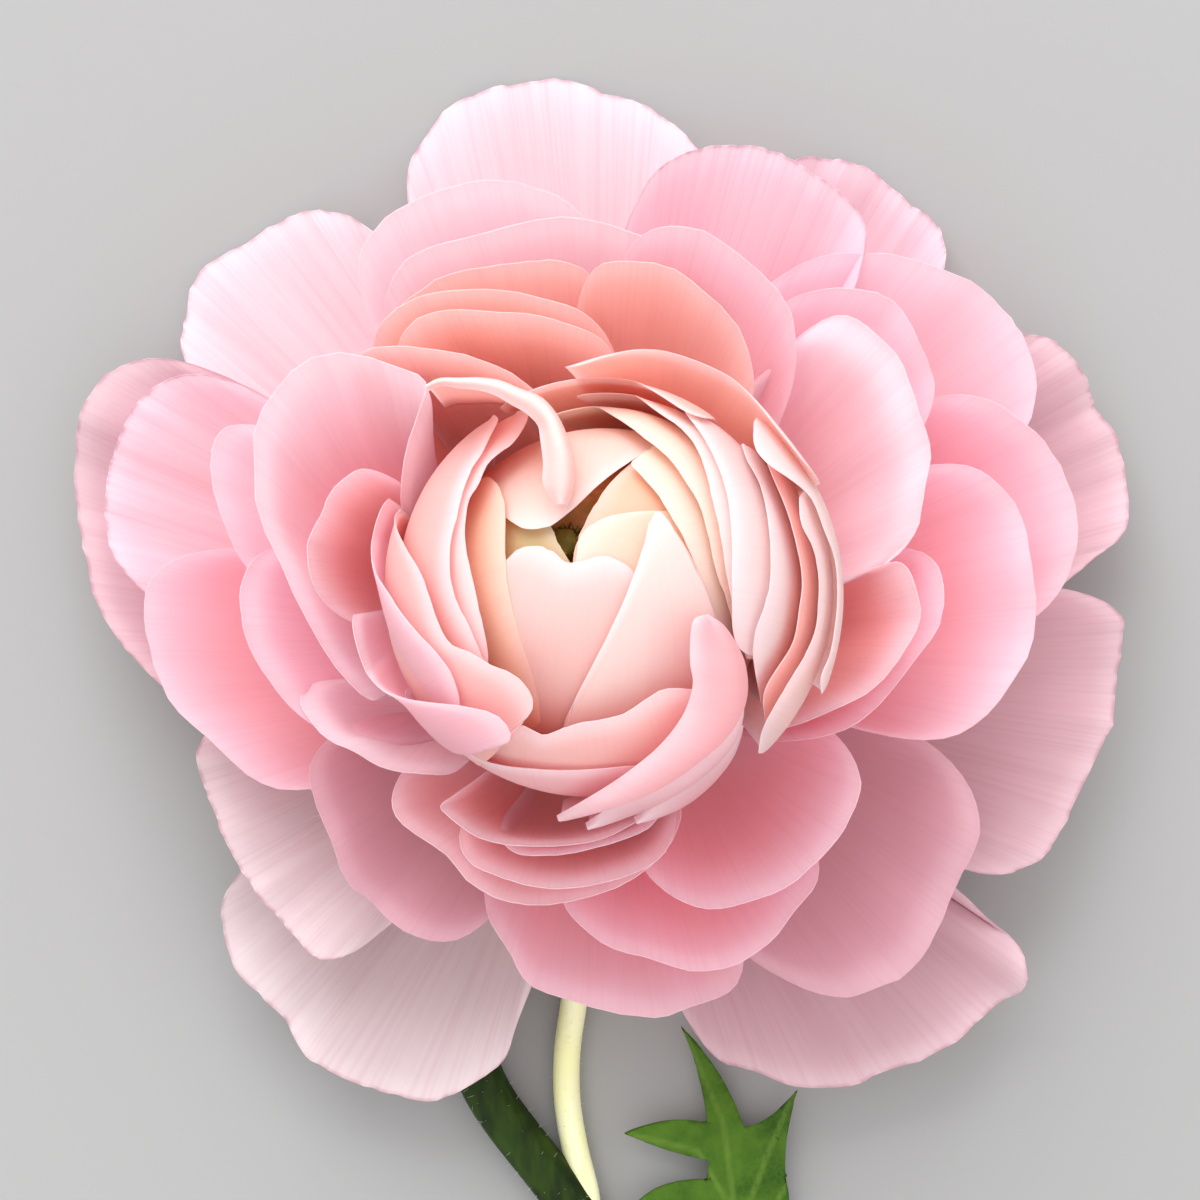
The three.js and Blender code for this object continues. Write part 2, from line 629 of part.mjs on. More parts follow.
/**
 * A closed blade about the middle surface of a petal, with both faces cut into the same triangles.
 * grow thickens it on each side and carries it as far past its edges.
 */
function blade(surface, across, along, thickness, grow = 0) {
  const STEP = 1e-3;
  const half = thickness / 2 + grow;
  const upper = [];
  const lower = [];
  for (let j = 0; j <= along; j++) {
    for (let i = 0; i <= across; i++) {
      const t = 0.5 - 0.5 * Math.cos((Math.PI * i) / across);
      const v = j / along;
      const point = surface(t, v);
      const sideways = surface(Math.min(1, t + STEP), v).sub(surface(Math.max(0, t - STEP), v));
      const onward = surface(t, Math.min(1, v + STEP)).sub(surface(t, Math.max(0, v - STEP)));
      const normal = new THREE.Vector3().crossVectors(onward, sideways).normalize();
      const pastSide = (i === across) - (i === 0);
      const pastEnd = (j === along) - (j === 0);
      point.addScaledVector(sideways.normalize(), grow * pastSide);
      point.addScaledVector(onward.normalize(), grow * pastEnd);
      upper.push(point.clone().addScaledVector(normal, half));
      lower.push(point.clone().addScaledVector(normal, -half));
    }
  }

  const columns = across + 1;
  const offset = upper.length;
  const faces = [];
  const quad = (a, b, c, d) => faces.push(a, b, c, a, c, d);
  for (let j = 0; j < along; j++) {
    for (let i = 0; i < across; i++) {
      const a = j * columns + i;
      const b = a + 1;
      const c = b + columns;
      const d = a + columns;
      faces.push(a, c, b, a, d, c);
      faces.push(a + offset, b + offset, c + offset, a + offset, c + offset, d + offset);
    }
  }
  const last = along * columns;
  for (let i = 0; i < across; i++) {
    quad(i, i + 1, i + 1 + offset, i + offset);
    quad(last + i + 1, last + i, last + i + offset, last + i + 1 + offset);
  }
  for (let j = 0; j < along; j++) {
    const left = j * columns;
    const right = left + across;
    quad(left + columns, left, left + offset, left + columns + offset);
    quad(right, right + columns, right + columns + offset, right + offset);
  }

  const geometry = new THREE.BufferGeometry().setFromPoints([...upper, ...lower]);
  geometry.setIndex(faces);
  return geometry;
}

/** A whorl of petals as solids, each blade grown by the given amount. */
function whorlSolids(petals, surfaceOf, whorl, across, along, grow = 0) {
  return petals.map((petal) => (
    toSolid(blade(surfaceOf(whorl, petal), across, along, PETAL_THICKNESS, grow))));
}

/** A disc about the bloom's axis between two depths. */
function axisDisc(radius, top, bottom, grow = 0) {
  const SIDES = 20;
  const height = bottom - top + 2 * grow;
  const centre = onAxis((top + bottom) / 2);
  return toSolid(new THREE.CylinderGeometry(radius + grow, radius + grow, height, SIDES)
    .applyQuaternion(TURN_TO_AXIS)
    .translate(centre.x, centre.y, centre.z));
}

// ---------------------------------------------------------------------------------------------
// Pieces of the bloom
// ---------------------------------------------------------------------------------------------

const HEART_GRID = [5, 3];
const BUD_GRID = [5, 4];
const CUP_GRID = [5, 3];
const GUARD_GRID = [7, 3];

/** The green cone in the middle of the bloom, seen through the slit between the heart petals. */
function makeCarpels(grow = 0) {
  const CARPELS = { base: [-1.8, 2.2, 5], tip: [-3.2, 4, 10.6], baseRadius: 3, tipRadius: 1.2, sides: 10 };
  const base = new THREE.Vector3(...CARPELS.base);
  const way = new THREE.Vector3(...CARPELS.tip).sub(base);
  const turn = new THREE.Quaternion().setFromUnitVectors(
    new THREE.Vector3(0, 1, 0), way.clone().normalize());
  const centre = base.addScaledVector(way, 0.5).add(BUD_CENTRE);
  return toSolid(new THREE.CylinderGeometry(CARPELS.tipRadius + grow, CARPELS.baseRadius + grow,
    way.length() + 2 * grow, CARPELS.sides)
    .applyQuaternion(turn)
    .translate(centre.x, centre.y, centre.z));
}

/**
 * A core about the bud's centre, turned round the bloom's axis. It lies between two spheres, from its
 * bottom up to rimAngle, and with no inner radius it is filled and closed by a dome.
 */
function roundCore({ innerRadius, outerRadius, domeRadius, rimAngle }, grow = 0) {
  const STEPS = 4;
  const SIDES = 12;
  const profile = [];
  const arc = (radius, from, to) => {
    for (let i = 0; i <= STEPS; i++) {
      const angle = THREE.MathUtils.degToRad(THREE.MathUtils.lerp(from, to, i / STEPS));
      profile.push(new THREE.Vector2(radius * Math.sin(angle), -radius * Math.cos(angle)));
    }
  };
  arc(outerRadius + grow, 0, rimAngle);
  if (innerRadius === undefined) arc(domeRadius, rimAngle, 180);
  else arc(innerRadius - grow, rimAngle, 0);
  profile[0].x = 0;
  profile[profile.length - 1].x = 0;
  return toSolid(new THREE.LatheGeometry(profile, SIDES)
    .applyQuaternion(TURN_TO_AXIS)
    .translate(BUD_CENTRE.x, BUD_CENTRE.y, BUD_CENTRE.z));
}

/** Heart petals on a core that fills the lower half of the heart and has a pocket for the carpels. */
function makeHeart() {
  const pocket = makeCarpels(CLEARANCE);
  const petals = whorlSolids(HEART_PETALS, wrappedPetal, HEART, ...HEART_GRID);
  return join([roundCore(HEART), ...petals]).subtract(pocket);
}

/** Bud petals fused to the bowl that they grow from. */
function makeBud() {
  return join([roundCore(BUD), ...whorlSolids(BUD_PETALS, wrappedPetal, BUD, ...BUD_GRID)]);
}

/** The ball that the bud fills, with the clearance round it. */
function makeBudEnvelope() {
  const SIDES = 16;
  return toSolid(new THREE.SphereGeometry(BUD.envelope, SIDES, SIDES / 2)
    .applyQuaternion(TURN_TO_AXIS)
    .translate(BUD_CENTRE.x, BUD_CENTRE.y, BUD_CENTRE.z));
}

/** Cup petals and the loose rims inside them, fused to the shallow bowl below the bud. */
function makeCup(grow = 0) {
  const petals = whorlSolids(CUP_PETALS, openPetal, CUP, ...CUP_GRID, grow);
  const rims = whorlSolids(CUP_RIMS, wrappedPetal, CUP, ...BUD_GRID, grow);
  return join([roundCore(CUP, grow), ...petals, ...rims]);
}

/** Guard petals fused to the lowest disc. */
function makeGuard(grow = 0) {
  const petals = whorlSolids(GUARD_PETALS, openPetal, GUARD, ...GUARD_GRID, grow);
  return join([axisDisc(GUARD.coreRadius, GUARD.coreTop, GUARD.coreBottom, grow), ...petals]);
}

/** Five sepals bent down from a ring round the top of the stem. */
function makeCalyx() {
  const SEPALS = 5;
  const RING = { radius: 5.8, top: 28.6, bottom: 30 };
  const SEPAL = { rootDepth: 29.3, rootRadius: 4, reach: 12, drop: 6.5, halfWidth: 3.6, grid: [4, 3] };
  const seat = { rise: 0, depth: SEPAL.rootDepth, radius: SEPAL.rootRadius };
  const whorl = { innerRoot: seat, outerRoot: { ...seat, rise: 1 } };
  const parts = [axisDisc(RING.radius, RING.top, RING.bottom)];
  for (let i = 0; i < SEPALS; i++) {
    const turn = Math.PI / 2 + (2 * Math.PI * i) / SEPALS;
    const foot = onAxis(SEPAL.rootDepth);
    const edge = [-1, -0.8, 0, 0.8, 1].map((side) => {
      const reach = SEPAL.reach * (1 - 0.45 * side * side);
      const across = -SEPAL.halfWidth * side;
      return [
        foot.x + reach * Math.cos(turn) - across * Math.sin(turn),
        foot.y + reach * Math.sin(turn) + across * Math.cos(turn),
      ];
    });
    const tip = foot.z - SEPAL.drop;
    const surface = openPetal(whorl, { edge, rise: [tip + 1, tip, tip + 1], belly: -1, cup: 0.6 });
    parts.push(toSolid(blade(surface, ...SEPAL.grid, PETAL_THICKNESS)));
  }
  return join(parts);
}

// ---------------------------------------------------------------------------------------------
// Green parts
// ---------------------------------------------------------------------------------------------

/** A tube of round section through the given points. */
function tube(points, radius, steps, sides = 5) {
  const path = new THREE.CatmullRomCurve3(points.map((point) => new THREE.Vector3(...point)));
  const section = new THREE.Shape().absarc(0, 0, radius, 0, 2 * Math.PI, false);
  return toSolid(new THREE.ExtrudeGeometry(section, {
    extrudePath: path, steps, curveSegments: sides, bevelEnabled: false,
  }));
}

// The stem leaves the bloom along its axis, bends over and lies on the surface.
const STEM_REST = STEM_RADIUS + 0.04;
const STEM_PATH = [
  onAxis(29.5).toArray(), onAxis(32).toArray(), [-1.5, -12.8, 5], [-4.8, -19, STEM_REST + 0.5],
  [-9, -28, STEM_REST], [-12.6, -38, STEM_REST], [-11.3, -47, STEM_REST], [-3.1, -58.3, STEM_REST],
  [4.5, -70, STEM_REST], [9, -84, STEM_REST], [10, -102, STEM_REST], [7, -122, STEM_REST],
  [2, -142, STEM_REST],
];

/** The stem and the swollen receptacle on its end. */
function makeStem(grow = 0) {
  const STEPS = 36;
  const height = RECEPTACLE.bottom - RECEPTACLE.top + 2 * grow;
  const centre = onAxis((RECEPTACLE.top + RECEPTACLE.bottom) / 2);
  const receptacle = toSolid(new THREE.CylinderGeometry(
    RECEPTACLE.topRadius + grow, STEM_RADIUS + grow, height, 16)
    .applyQuaternion(TURN_TO_AXIS)
    .translate(centre.x, centre.y, centre.z));
  return tube(STEM_PATH, STEM_RADIUS + grow, STEPS).add(receptacle);
}

// The side shoot leaves the stem on its right side and ends in a closed bud below the bloom.
const SHOOT_PATH = [
  [-1, -61, 2.4], [-1.4, -57.5, 2.2], [-2.5, -53, 1.8], [-3.2, -48.5, 1.5], [-3.2, -44, 1.5],
  [-2.6, -39.5, 2], [-2.1, -36, 3],
];
const SIDE_BUD = { centre: [-1.6, -32.4, 4.9], radius: 3.4, length: 8 };

/** The pale shoot that runs beside the stem. */
function makeShoot() {
  return tube(SHOOT_PATH, SHOOT_RADIUS, 14, 4);
}

/** The small closed bud at the end of the side shoot. */
function makeSideBud() {
  const [x, y, z] = SIDE_BUD.centre;
  const egg = new THREE.SphereGeometry(SIDE_BUD.radius, 12, 8);
  egg.scale(1, SIDE_BUD.length / (2 * SIDE_BUD.radius), 1);
  return toSolid(egg.rotateX(0.25).translate(x, y, z));
}

/** The cut leaf: an outline with four pointed lobes, waved by a formula. */
function makeLeaf() {
  const LEAF_HEIGHT = 0.9;
  const outline = new THREE.Shape();
  outline.moveTo(9.6, -76.5);
  outline.quadraticCurveTo(10.2, -70, 8.6, -66);
  outline.quadraticCurveTo(6, -62.5, 3.4, -58.8);
  outline.quadraticCurveTo(5, -56.2, 10.4, -56.2);
  outline.lineTo(10.6, -54.4);
  outline.quadraticCurveTo(6.5, -53.6, 2.4, -51.7);
  outline.quadraticCurveTo(6.5, -49.8, 10.4, -50.8);
  outline.quadraticCurveTo(10.2, -46.5, 7.9, -41.5);
  outline.quadraticCurveTo(12, -45.5, 14, -51.2);
  outline.quadraticCurveTo(16.6, -50.8, 19.1, -47.6);
  outline.quadraticCurveTo(17.8, -52, 18, -56);
  outline.quadraticCurveTo(19.6, -63, 14.6, -69);
  outline.quadraticCurveTo(12.4, -72, 11.6, -76.5);
  outline.closePath();
  const geometry = new THREE.ExtrudeGeometry(outline, {
    depth: LEAF_THICKNESS, bevelEnabled: false, curveSegments: 5,
  });
  const position = geometry.attributes.position;
  for (let i = 0; i < position.count; i++) {
    const x = position.getX(i);
    const y = position.getY(i);
    position.setZ(i, position.getZ(i) + LEAF_HEIGHT + leafWave(x, y));
  }
  return toSolid(geometry);
}

/** Height of the leaf's wave over its flat outline: a trough along its midrib and a ripple. */
function leafWave(x, y) {
  const acrossRib = x - 13;
  return 0.8 + 0.014 * acrossRib ** 2 + 0.5 * Math.sin(0.32 * (y + 60)) * Math.cos(0.25 * acrossRib);
}

// ---------------------------------------------------------------------------------------------
// The flower
// ---------------------------------------------------------------------------------------------

const bloomGroup = new THREE.Group();
bloomGroup.position.copy(BLOOM_OFFSET);

/** Adds a solid to the flower as a named mesh. */
function addPiece(name, solid, colour, roughness) {
  const material = new THREE.MeshStandardMaterial({ color: colour, roughness, metalness: 0 });
  const mesh = new THREE.Mesh(toGeometry(solid), material);
  mesh.name = name;
  bloomGroup.add(mesh);
}

const restSurface = belowSurface();
const bud = largestBody(makeBud());
const cup = largestBody(makeCup().subtract(makeBudEnvelope()));
const guard = largestBody(makeGuard().subtract(makeCup(CLEARANCE)).subtract(restSurface));
const stem = makeStem();
const stemSpace = makeStem(CLEARANCE);
const calyx = largestBody(
  makeCalyx().subtract(stemSpace).subtract(makeGuard(CLEARANCE)).subtract(restSurface));

addPiece('heart_petals', largestBody(makeHeart()), COLOURS.heart, 0.6);
addPiece('bud_petals', bud, COLOURS.bud, 0.6);
addPiece('cup_petals', cup, COLOURS.cup, 0.6);
addPiece('guard_petals', guard, COLOURS.guard, 0.6);
addPiece('carpels', makeCarpels(), COLOURS.carpels, 0.7);
addPiece('calyx', calyx, COLOURS.calyx, 0.6);
addPiece('stem', stem, COLOURS.stem, 0.5);
addPiece('side_shoot', largestBody(makeShoot().subtract(stemSpace)), COLOURS.shoot, 0.5);
addPiece('side_bud', makeSideBud(), COLOURS.calyx, 0.6);
addPiece('leaf', largestBody(makeLeaf().subtract(stemSpace)), COLOURS.leaf, 0.5);

const flower = new THREE.Group();
flower.add(bloomGroup);

export default flower;
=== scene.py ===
# A cut ranunculus lying on its back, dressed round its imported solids.
# Lengths are in millimetres in the bloom's own frame: its origin is on the floor below the middle of
# the bloom, x and y run right and up as the camera sees them, and z points up out of the floor.
import math

import bmesh
import bpy
import numpy as np
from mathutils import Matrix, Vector


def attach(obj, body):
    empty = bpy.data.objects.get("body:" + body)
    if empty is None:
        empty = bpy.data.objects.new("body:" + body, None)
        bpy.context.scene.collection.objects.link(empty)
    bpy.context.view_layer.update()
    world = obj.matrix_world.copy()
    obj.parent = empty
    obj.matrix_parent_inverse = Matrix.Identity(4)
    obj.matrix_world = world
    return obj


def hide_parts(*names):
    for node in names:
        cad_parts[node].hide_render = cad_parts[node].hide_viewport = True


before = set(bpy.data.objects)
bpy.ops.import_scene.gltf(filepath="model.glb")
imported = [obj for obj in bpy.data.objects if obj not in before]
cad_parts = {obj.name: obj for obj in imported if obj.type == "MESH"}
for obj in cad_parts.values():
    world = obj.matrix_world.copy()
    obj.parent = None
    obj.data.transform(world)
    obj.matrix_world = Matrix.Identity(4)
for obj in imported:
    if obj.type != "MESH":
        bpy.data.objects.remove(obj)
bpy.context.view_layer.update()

# -----------------------------------------------------------------------------
# Stem
# The real stem is a juicy green tube, round, finely ribbed and softly hairy, hollow where it was cut.
# It swells to the receptacle that every petal grows from, and bends over so that the bloom faces up.
# -----------------------------------------------------------------------------
MM = 0.001
BLOOM_PLACE = np.array([-0.1, 46.3, 0.0])
BUD_CENTRE = np.array([0.0, 1.0, 39.0])
BLOOM_LEAN = math.radians(16)
AXIS = np.array([0.0, math.sin(BLOOM_LEAN), math.cos(BLOOM_LEAN)])
AXIS_SIDE = np.array([1.0, 0.0, 0.0])
AXIS_FRONT = np.array([0.0, math.cos(BLOOM_LEAN), -math.sin(BLOOM_LEAN)])

STEM_RADIUS = 2.3
STEM_REST = 2.36
RECEPTACLE_DEPTH = 28.8
RECEPTACLE_SWELL = 2.2
RECEPTACLE_LENGTH = 2.4
STEM_RIBS = 12
RIB_HEIGHT = 0.04
CUT_WALL = 0.85
CUT_DEPTH = 5.0


def on_axis(depth):
    """The point on the bloom's axis this far below the bud's centre."""
    return BUD_CENTRE - depth * AXIS


def catmull_rom(points, t):
    """The uniform Catmull-Rom curve through the points, with t from 0 at the first to 1 at the last."""
    points = np.asarray(points, float)
    spans = len(points) - 1
    padded = np.vstack([2 * points[0] - points[1], points, 2 * points[-1] - points[-2]])
    place = np.clip(t * spans, 0, spans - 1e-9)
    span = place.astype(int)
    f = (place - span)[:, None]
    a, b, c, d = (padded[span + k] for k in range(4))
    return 0.5 * (2 * b + (c - a) * f + (2 * a - 5 * b + 4 * c - d) * f**2
                  + (3 * b - a - 3 * c + d) * f**3)


def unit(vectors):
    """The vectors at length one."""
    return vectors / np.linalg.norm(vectors, axis=-1, keepdims=True)


def round_angles(count):
    """This many even angles round a circle, in radians."""
    return np.linspace(0, 2 * math.pi, count, endpoint=False)


def ring_frames(path):
    """Side and upward unit vectors square to the path at each of its points."""
    ahead = unit(np.gradient(path, axis=0))
    side = unit(AXIS_SIDE - ahead * ahead[:, :1])
    return side, np.cross(side, ahead)


def swept(path, radii, sides):
    """Rings round a path: centre + radius * (cos a * side + sin a * up), with radii an array per ring."""
    side, up = ring_frames(path)
    angles = round_angles(sides)[None, :, None]
    spokes = np.cos(angles) * side[:, None] + np.sin(angles) * up[:, None]
    return path[:, None] + spokes * np.broadcast_to(radii, (len(path), sides))[..., None]


def ring_faces(rings, sides):
    """Quads between neighbouring rings, and a flat face over the first ring and the last one."""
    index = np.arange(rings * sides).reshape(rings, sides)
    along = np.roll(index, -1, axis=1)
    quads = np.stack([index[:-1], along[:-1], along[1:], index[1:]], axis=-1).reshape(-1, 4)
    return quads.tolist() + [index[0, ::-1].tolist(), index[-1].tolist()]


def add_piece(name, points, faces, material, replaced, slot):
    """A smooth mesh at its place in the row's frame that stands for the CAD nodes named as replaced."""
    mesh = bpy.data.meshes.new(name)
    placed = (points.reshape(-1, 3) + BLOOM_PLACE) * MM
    mesh.from_pydata(placed.tolist(), [], faces)
    mesh.update()
    mesh.shade_smooth()
    mesh.materials.append(material)
    piece = bpy.data.objects.new(name, mesh)
    bpy.context.scene.collection.objects.link(piece)
    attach(piece, "root")
    if replaced:
        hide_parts(*replaced)
    return piece


def srgb(red, green, blue):
    """A colour given as it looks on a screen, 0 to 255, as linear light."""
    values = np.array([red, green, blue]) / 255
    linear = np.where(values <= 0.04045, values / 12.92, ((values + 0.055) / 1.055) ** 2.4)
    return (*linear.tolist(), 1.0)


def add_node(tree, kind, inputs=(), **settings):
    """A node with its settings. Each input is set to a value, or linked if it is given a socket."""
    node = tree.nodes.new(kind)
    for name, value in settings.items():
        setattr(node, name, value)
    for key, value in dict(inputs).items():
        if isinstance(value, bpy.types.NodeSocket):
            tree.links.new(value, node.inputs[key])
        else:
            node.inputs[key].default_value = value
    return node


def mixed(tree, share, first, second, blend="MIX"):
    """The socket of two colours mixed by a share."""
    node = add_node(tree, "ShaderNodeMix", {0: share, 6: first, 7: second},
                    data_type="RGBA", blend_type=blend)
    return node.outputs[2]


def worked_out(tree, operation, *values):
    """The socket of a sum done on values or sockets."""
    node = add_node(tree, "ShaderNodeMath", dict(enumerate(values)), operation=operation)
    return node.outputs[0]


def between(tree, value, low, high, from_value=0.0, to_value=1.0):
    """The socket of a value carried smoothly from low..high to from_value..to_value."""
    node = add_node(tree, "ShaderNodeMapRange", {0: value, 1: low, 2: high, 3: from_value, 4: to_value},
                    interpolation_type="SMOOTHSTEP")
    return node.outputs[0]


def noise(tree, vector, scale, detail=2.0):
    """The socket of a cloudy pattern, 0 to 1."""
    node = add_node(tree, "ShaderNodeTexNoise", {"Vector": vector, "Scale": scale, "Detail": detail})
    return node.outputs["Fac"]


def scaled(tree, vector, factors):
    """The socket of a vector times these factors."""
    return add_node(tree, "ShaderNodeMapping", {"Vector": vector, "Scale": factors}).outputs[0]


def new_material(name, roughness, specular=0.4, see_through=None, **constants):
    """An empty material with its shaders: a principled one, mixed with a translucent one if asked."""
    material = bpy.data.materials.new(name)
    material.use_nodes = True
    tree = material.node_tree
    shader = tree.nodes["Principled BSDF"]
    shader.inputs["Roughness"].default_value = roughness
    shader.inputs["Specular IOR Level"].default_value = specular
    for socket, value in constants.items():
        shader.inputs[socket.replace("_", " ")].default_value = value
    glow = None
    if see_through is not None:
        glow = add_node(tree, "ShaderNodeBsdfTranslucent")
        both = add_node(tree, "ShaderNodeMixShader", {0: see_through, 1: shader.outputs[0],
                                                      2: glow.outputs[0]})
        tree.links.new(both.outputs[0], tree.nodes["Material Output"].inputs["Surface"])
    return material, tree, shader, glow


def green_material(name, deep, light, fibre_scale, roughness, relief):
    """Plant tissue: deep green with lighter lengthwise fibres and cloudy patches."""
    material, tree, shader, _ = new_material(name, roughness, 0.2)
    place = add_node(tree, "ShaderNodeTexCoord").outputs["Object"]
    fibres = noise(tree, scaled(tree, place, fibre_scale), 1.0, 3.0)
    patches = noise(tree, place, 160.0)
    share = worked_out(tree, "ADD", between(tree, fibres, 0.35, 0.75, 0.0, 0.6),
                       between(tree, patches, 0.35, 0.7, 0.0, 0.4))
    tree.links.new(mixed(tree, share, deep, light), shader.inputs["Base Color"])
    bump = add_node(tree, "ShaderNodeBump", {"Height": fibres, "Distance": relief * MM, "Strength": 0.6})
    tree.links.new(bump.outputs[0], shader.inputs["Normal"])
    return material


def hairs(rng, roots, ways, length, width):
    """Fine hairs as three-sided spikes: a small triangle square to each way, joined to its tip.

    Where a hair meets the floor, it lies on it.
    """
    count = len(roots)
    ways = unit(ways + 0.35 * rng.standard_normal((count, 3)))
    side = unit(np.cross(ways, [0.31, 0.52, 0.79]))
    other = np.cross(ways, side)
    angles = np.arange(3) * 2 * math.pi / 3
    foot = (np.cos(angles)[None, :, None] * side[:, None] + np.sin(angles)[None, :, None] * other[:, None])
    base = roots[:, None] + 0.5 * width * foot
    tips = roots + ways * (length * rng.uniform(0.5, 1.0, (count, 1)))
    points = np.concatenate([base, tips[:, None]], axis=1)
    points[..., 2] = np.maximum(points[..., 2], 0.0)
    corners = np.array([[0, 1, 3], [1, 2, 3], [2, 0, 3], [2, 1, 0]])
    faces = (np.arange(count)[:, None, None] * 4 + corners[None]).reshape(-1, 3)
    return points.reshape(-1, 3), faces.tolist()


def hairs_on_rings(rng, rings, count, length, width):
    """Hairs spread at random over rings, standing out from the middle of each ring."""
    ring = rng.integers(0, len(rings), count)
    spoke = rng.integers(0, rings.shape[1], count)
    roots = rings[ring, spoke]
    return hairs(rng, roots, unit(roots - rings[ring].mean(axis=1)), length, width)


STEM_PATH = [
    on_axis(RECEPTACLE_DEPTH), on_axis(32), (-1.5, -12.8, 5), (-4.8, -19, STEM_REST + 0.5),
    (-9, -28, STEM_REST), (-12.6, -38, STEM_REST), (-11.3, -47, STEM_REST), (-3.1, -58.3, STEM_REST),
    (4.5, -70, STEM_REST), (9, -84, STEM_REST), (10, -102, STEM_REST), (7, -122, STEM_REST),
    (2, -142, STEM_REST),
]
STEM_RINGS = 180
STEM_SIDES = 48
STEM_HAIRS = 1100

stem_line = catmull_rom(STEM_PATH, np.linspace(0, 1, STEM_RINGS))
stem_run = np.concatenate([[0], np.cumsum(np.linalg.norm(np.diff(stem_line, axis=0), axis=1))])
stem_swell = RECEPTACLE_SWELL * np.exp(-(stem_run / RECEPTACLE_LENGTH) ** 2)
stem_radii = ((STEM_RADIUS - RIB_HEIGHT + stem_swell)[:, None]
              + RIB_HEIGHT * np.cos(STEM_RIBS * round_angles(STEM_SIDES)))
stem_walls = swept(stem_line, stem_radii, STEM_SIDES)
cut_end = stem_walls[-1]
cut_middle = cut_end.mean(axis=0)
cut_inward = unit(stem_line[-6] - stem_line[-1])
pith_share = 1 - CUT_WALL / STEM_RADIUS
# Rings of the cut end, from its skin to the pith: share of the stem's radius, and depth into the stem.
cut_profile = ((0.97, -0.12), (pith_share + 0.06, -0.10), (pith_share, 0.15),
               (pith_share - 0.05, CUT_DEPTH))
cut_rings = [cut_middle + (cut_end - cut_middle) * share + depth * cut_inward
             for share, depth in cut_profile]
stem_rings = np.concatenate([stem_walls, np.array(cut_rings)])

# The stem's green is very dark: partly painted shade from where it lies under the bloom.
shaded_stem_green = green_material("stem_skin", srgb(15, 33, 1), srgb(46, 72, 8), (900, 120, 900), 0.55, 0.05)
stem = add_piece("stem_tube", stem_rings, ring_faces(len(stem_rings), STEM_SIDES), shaded_stem_green,
                 ["stem"], "stem")

cut_flesh = green_material("cut_flesh", srgb(150, 170, 96), srgb(206, 218, 160), (1500, 1500, 1500),
                           0.35, 0.08)
stem.data.materials.append(cut_flesh)
first_cut_face = (STEM_RINGS - 1) * STEM_SIDES
for polygon in stem.data.polygons[first_cut_face + STEM_SIDES:]:
    polygon.material_index = 1
stem.data.polygons[len(stem.data.polygons) - 2].material_index = 0

hair_white, *_ = new_material("fine_hairs", 0.5, see_through=0.4, Base_Color=srgb(222, 228, 205))
rng = np.random.default_rng(11)
add_piece("stem_hairs", *hairs_on_rings(rng, stem_walls[8:], STEM_HAIRS, 0.9, 0.055), hair_white,
          [], "stem")

# -----------------------------------------------------------------------------
# Guard petals
# The outermost ring: eleven large petals as thin as tissue, white to grey pink, the grey of the side and
# lower ones partly painted shade, finely streaked along their length, with frilled and slightly torn
# free edges. They are fused to the receptacle.
# -----------------------------------------------------------------------------
# Tones of petals: the colour deep inside, and the one at the rim.
SNOW = (srgb(251, 222, 229), srgb(254, 238, 244))
# The next two tones are greyer and darker, for the petals at the sides and bottom: partly painted shade.
SHADED_MIST = (srgb(231, 193, 202), srgb(241, 214, 222))
SHADED_PEARL = (srgb(226, 206, 208), srgb(242, 230, 233))
ROSE = (srgb(254, 214, 222), srgb(255, 230, 240))
PETAL_THICKNESS = 0.3
PETAL_MARGIN = 2.5
OPEN_CORNER = 0.28

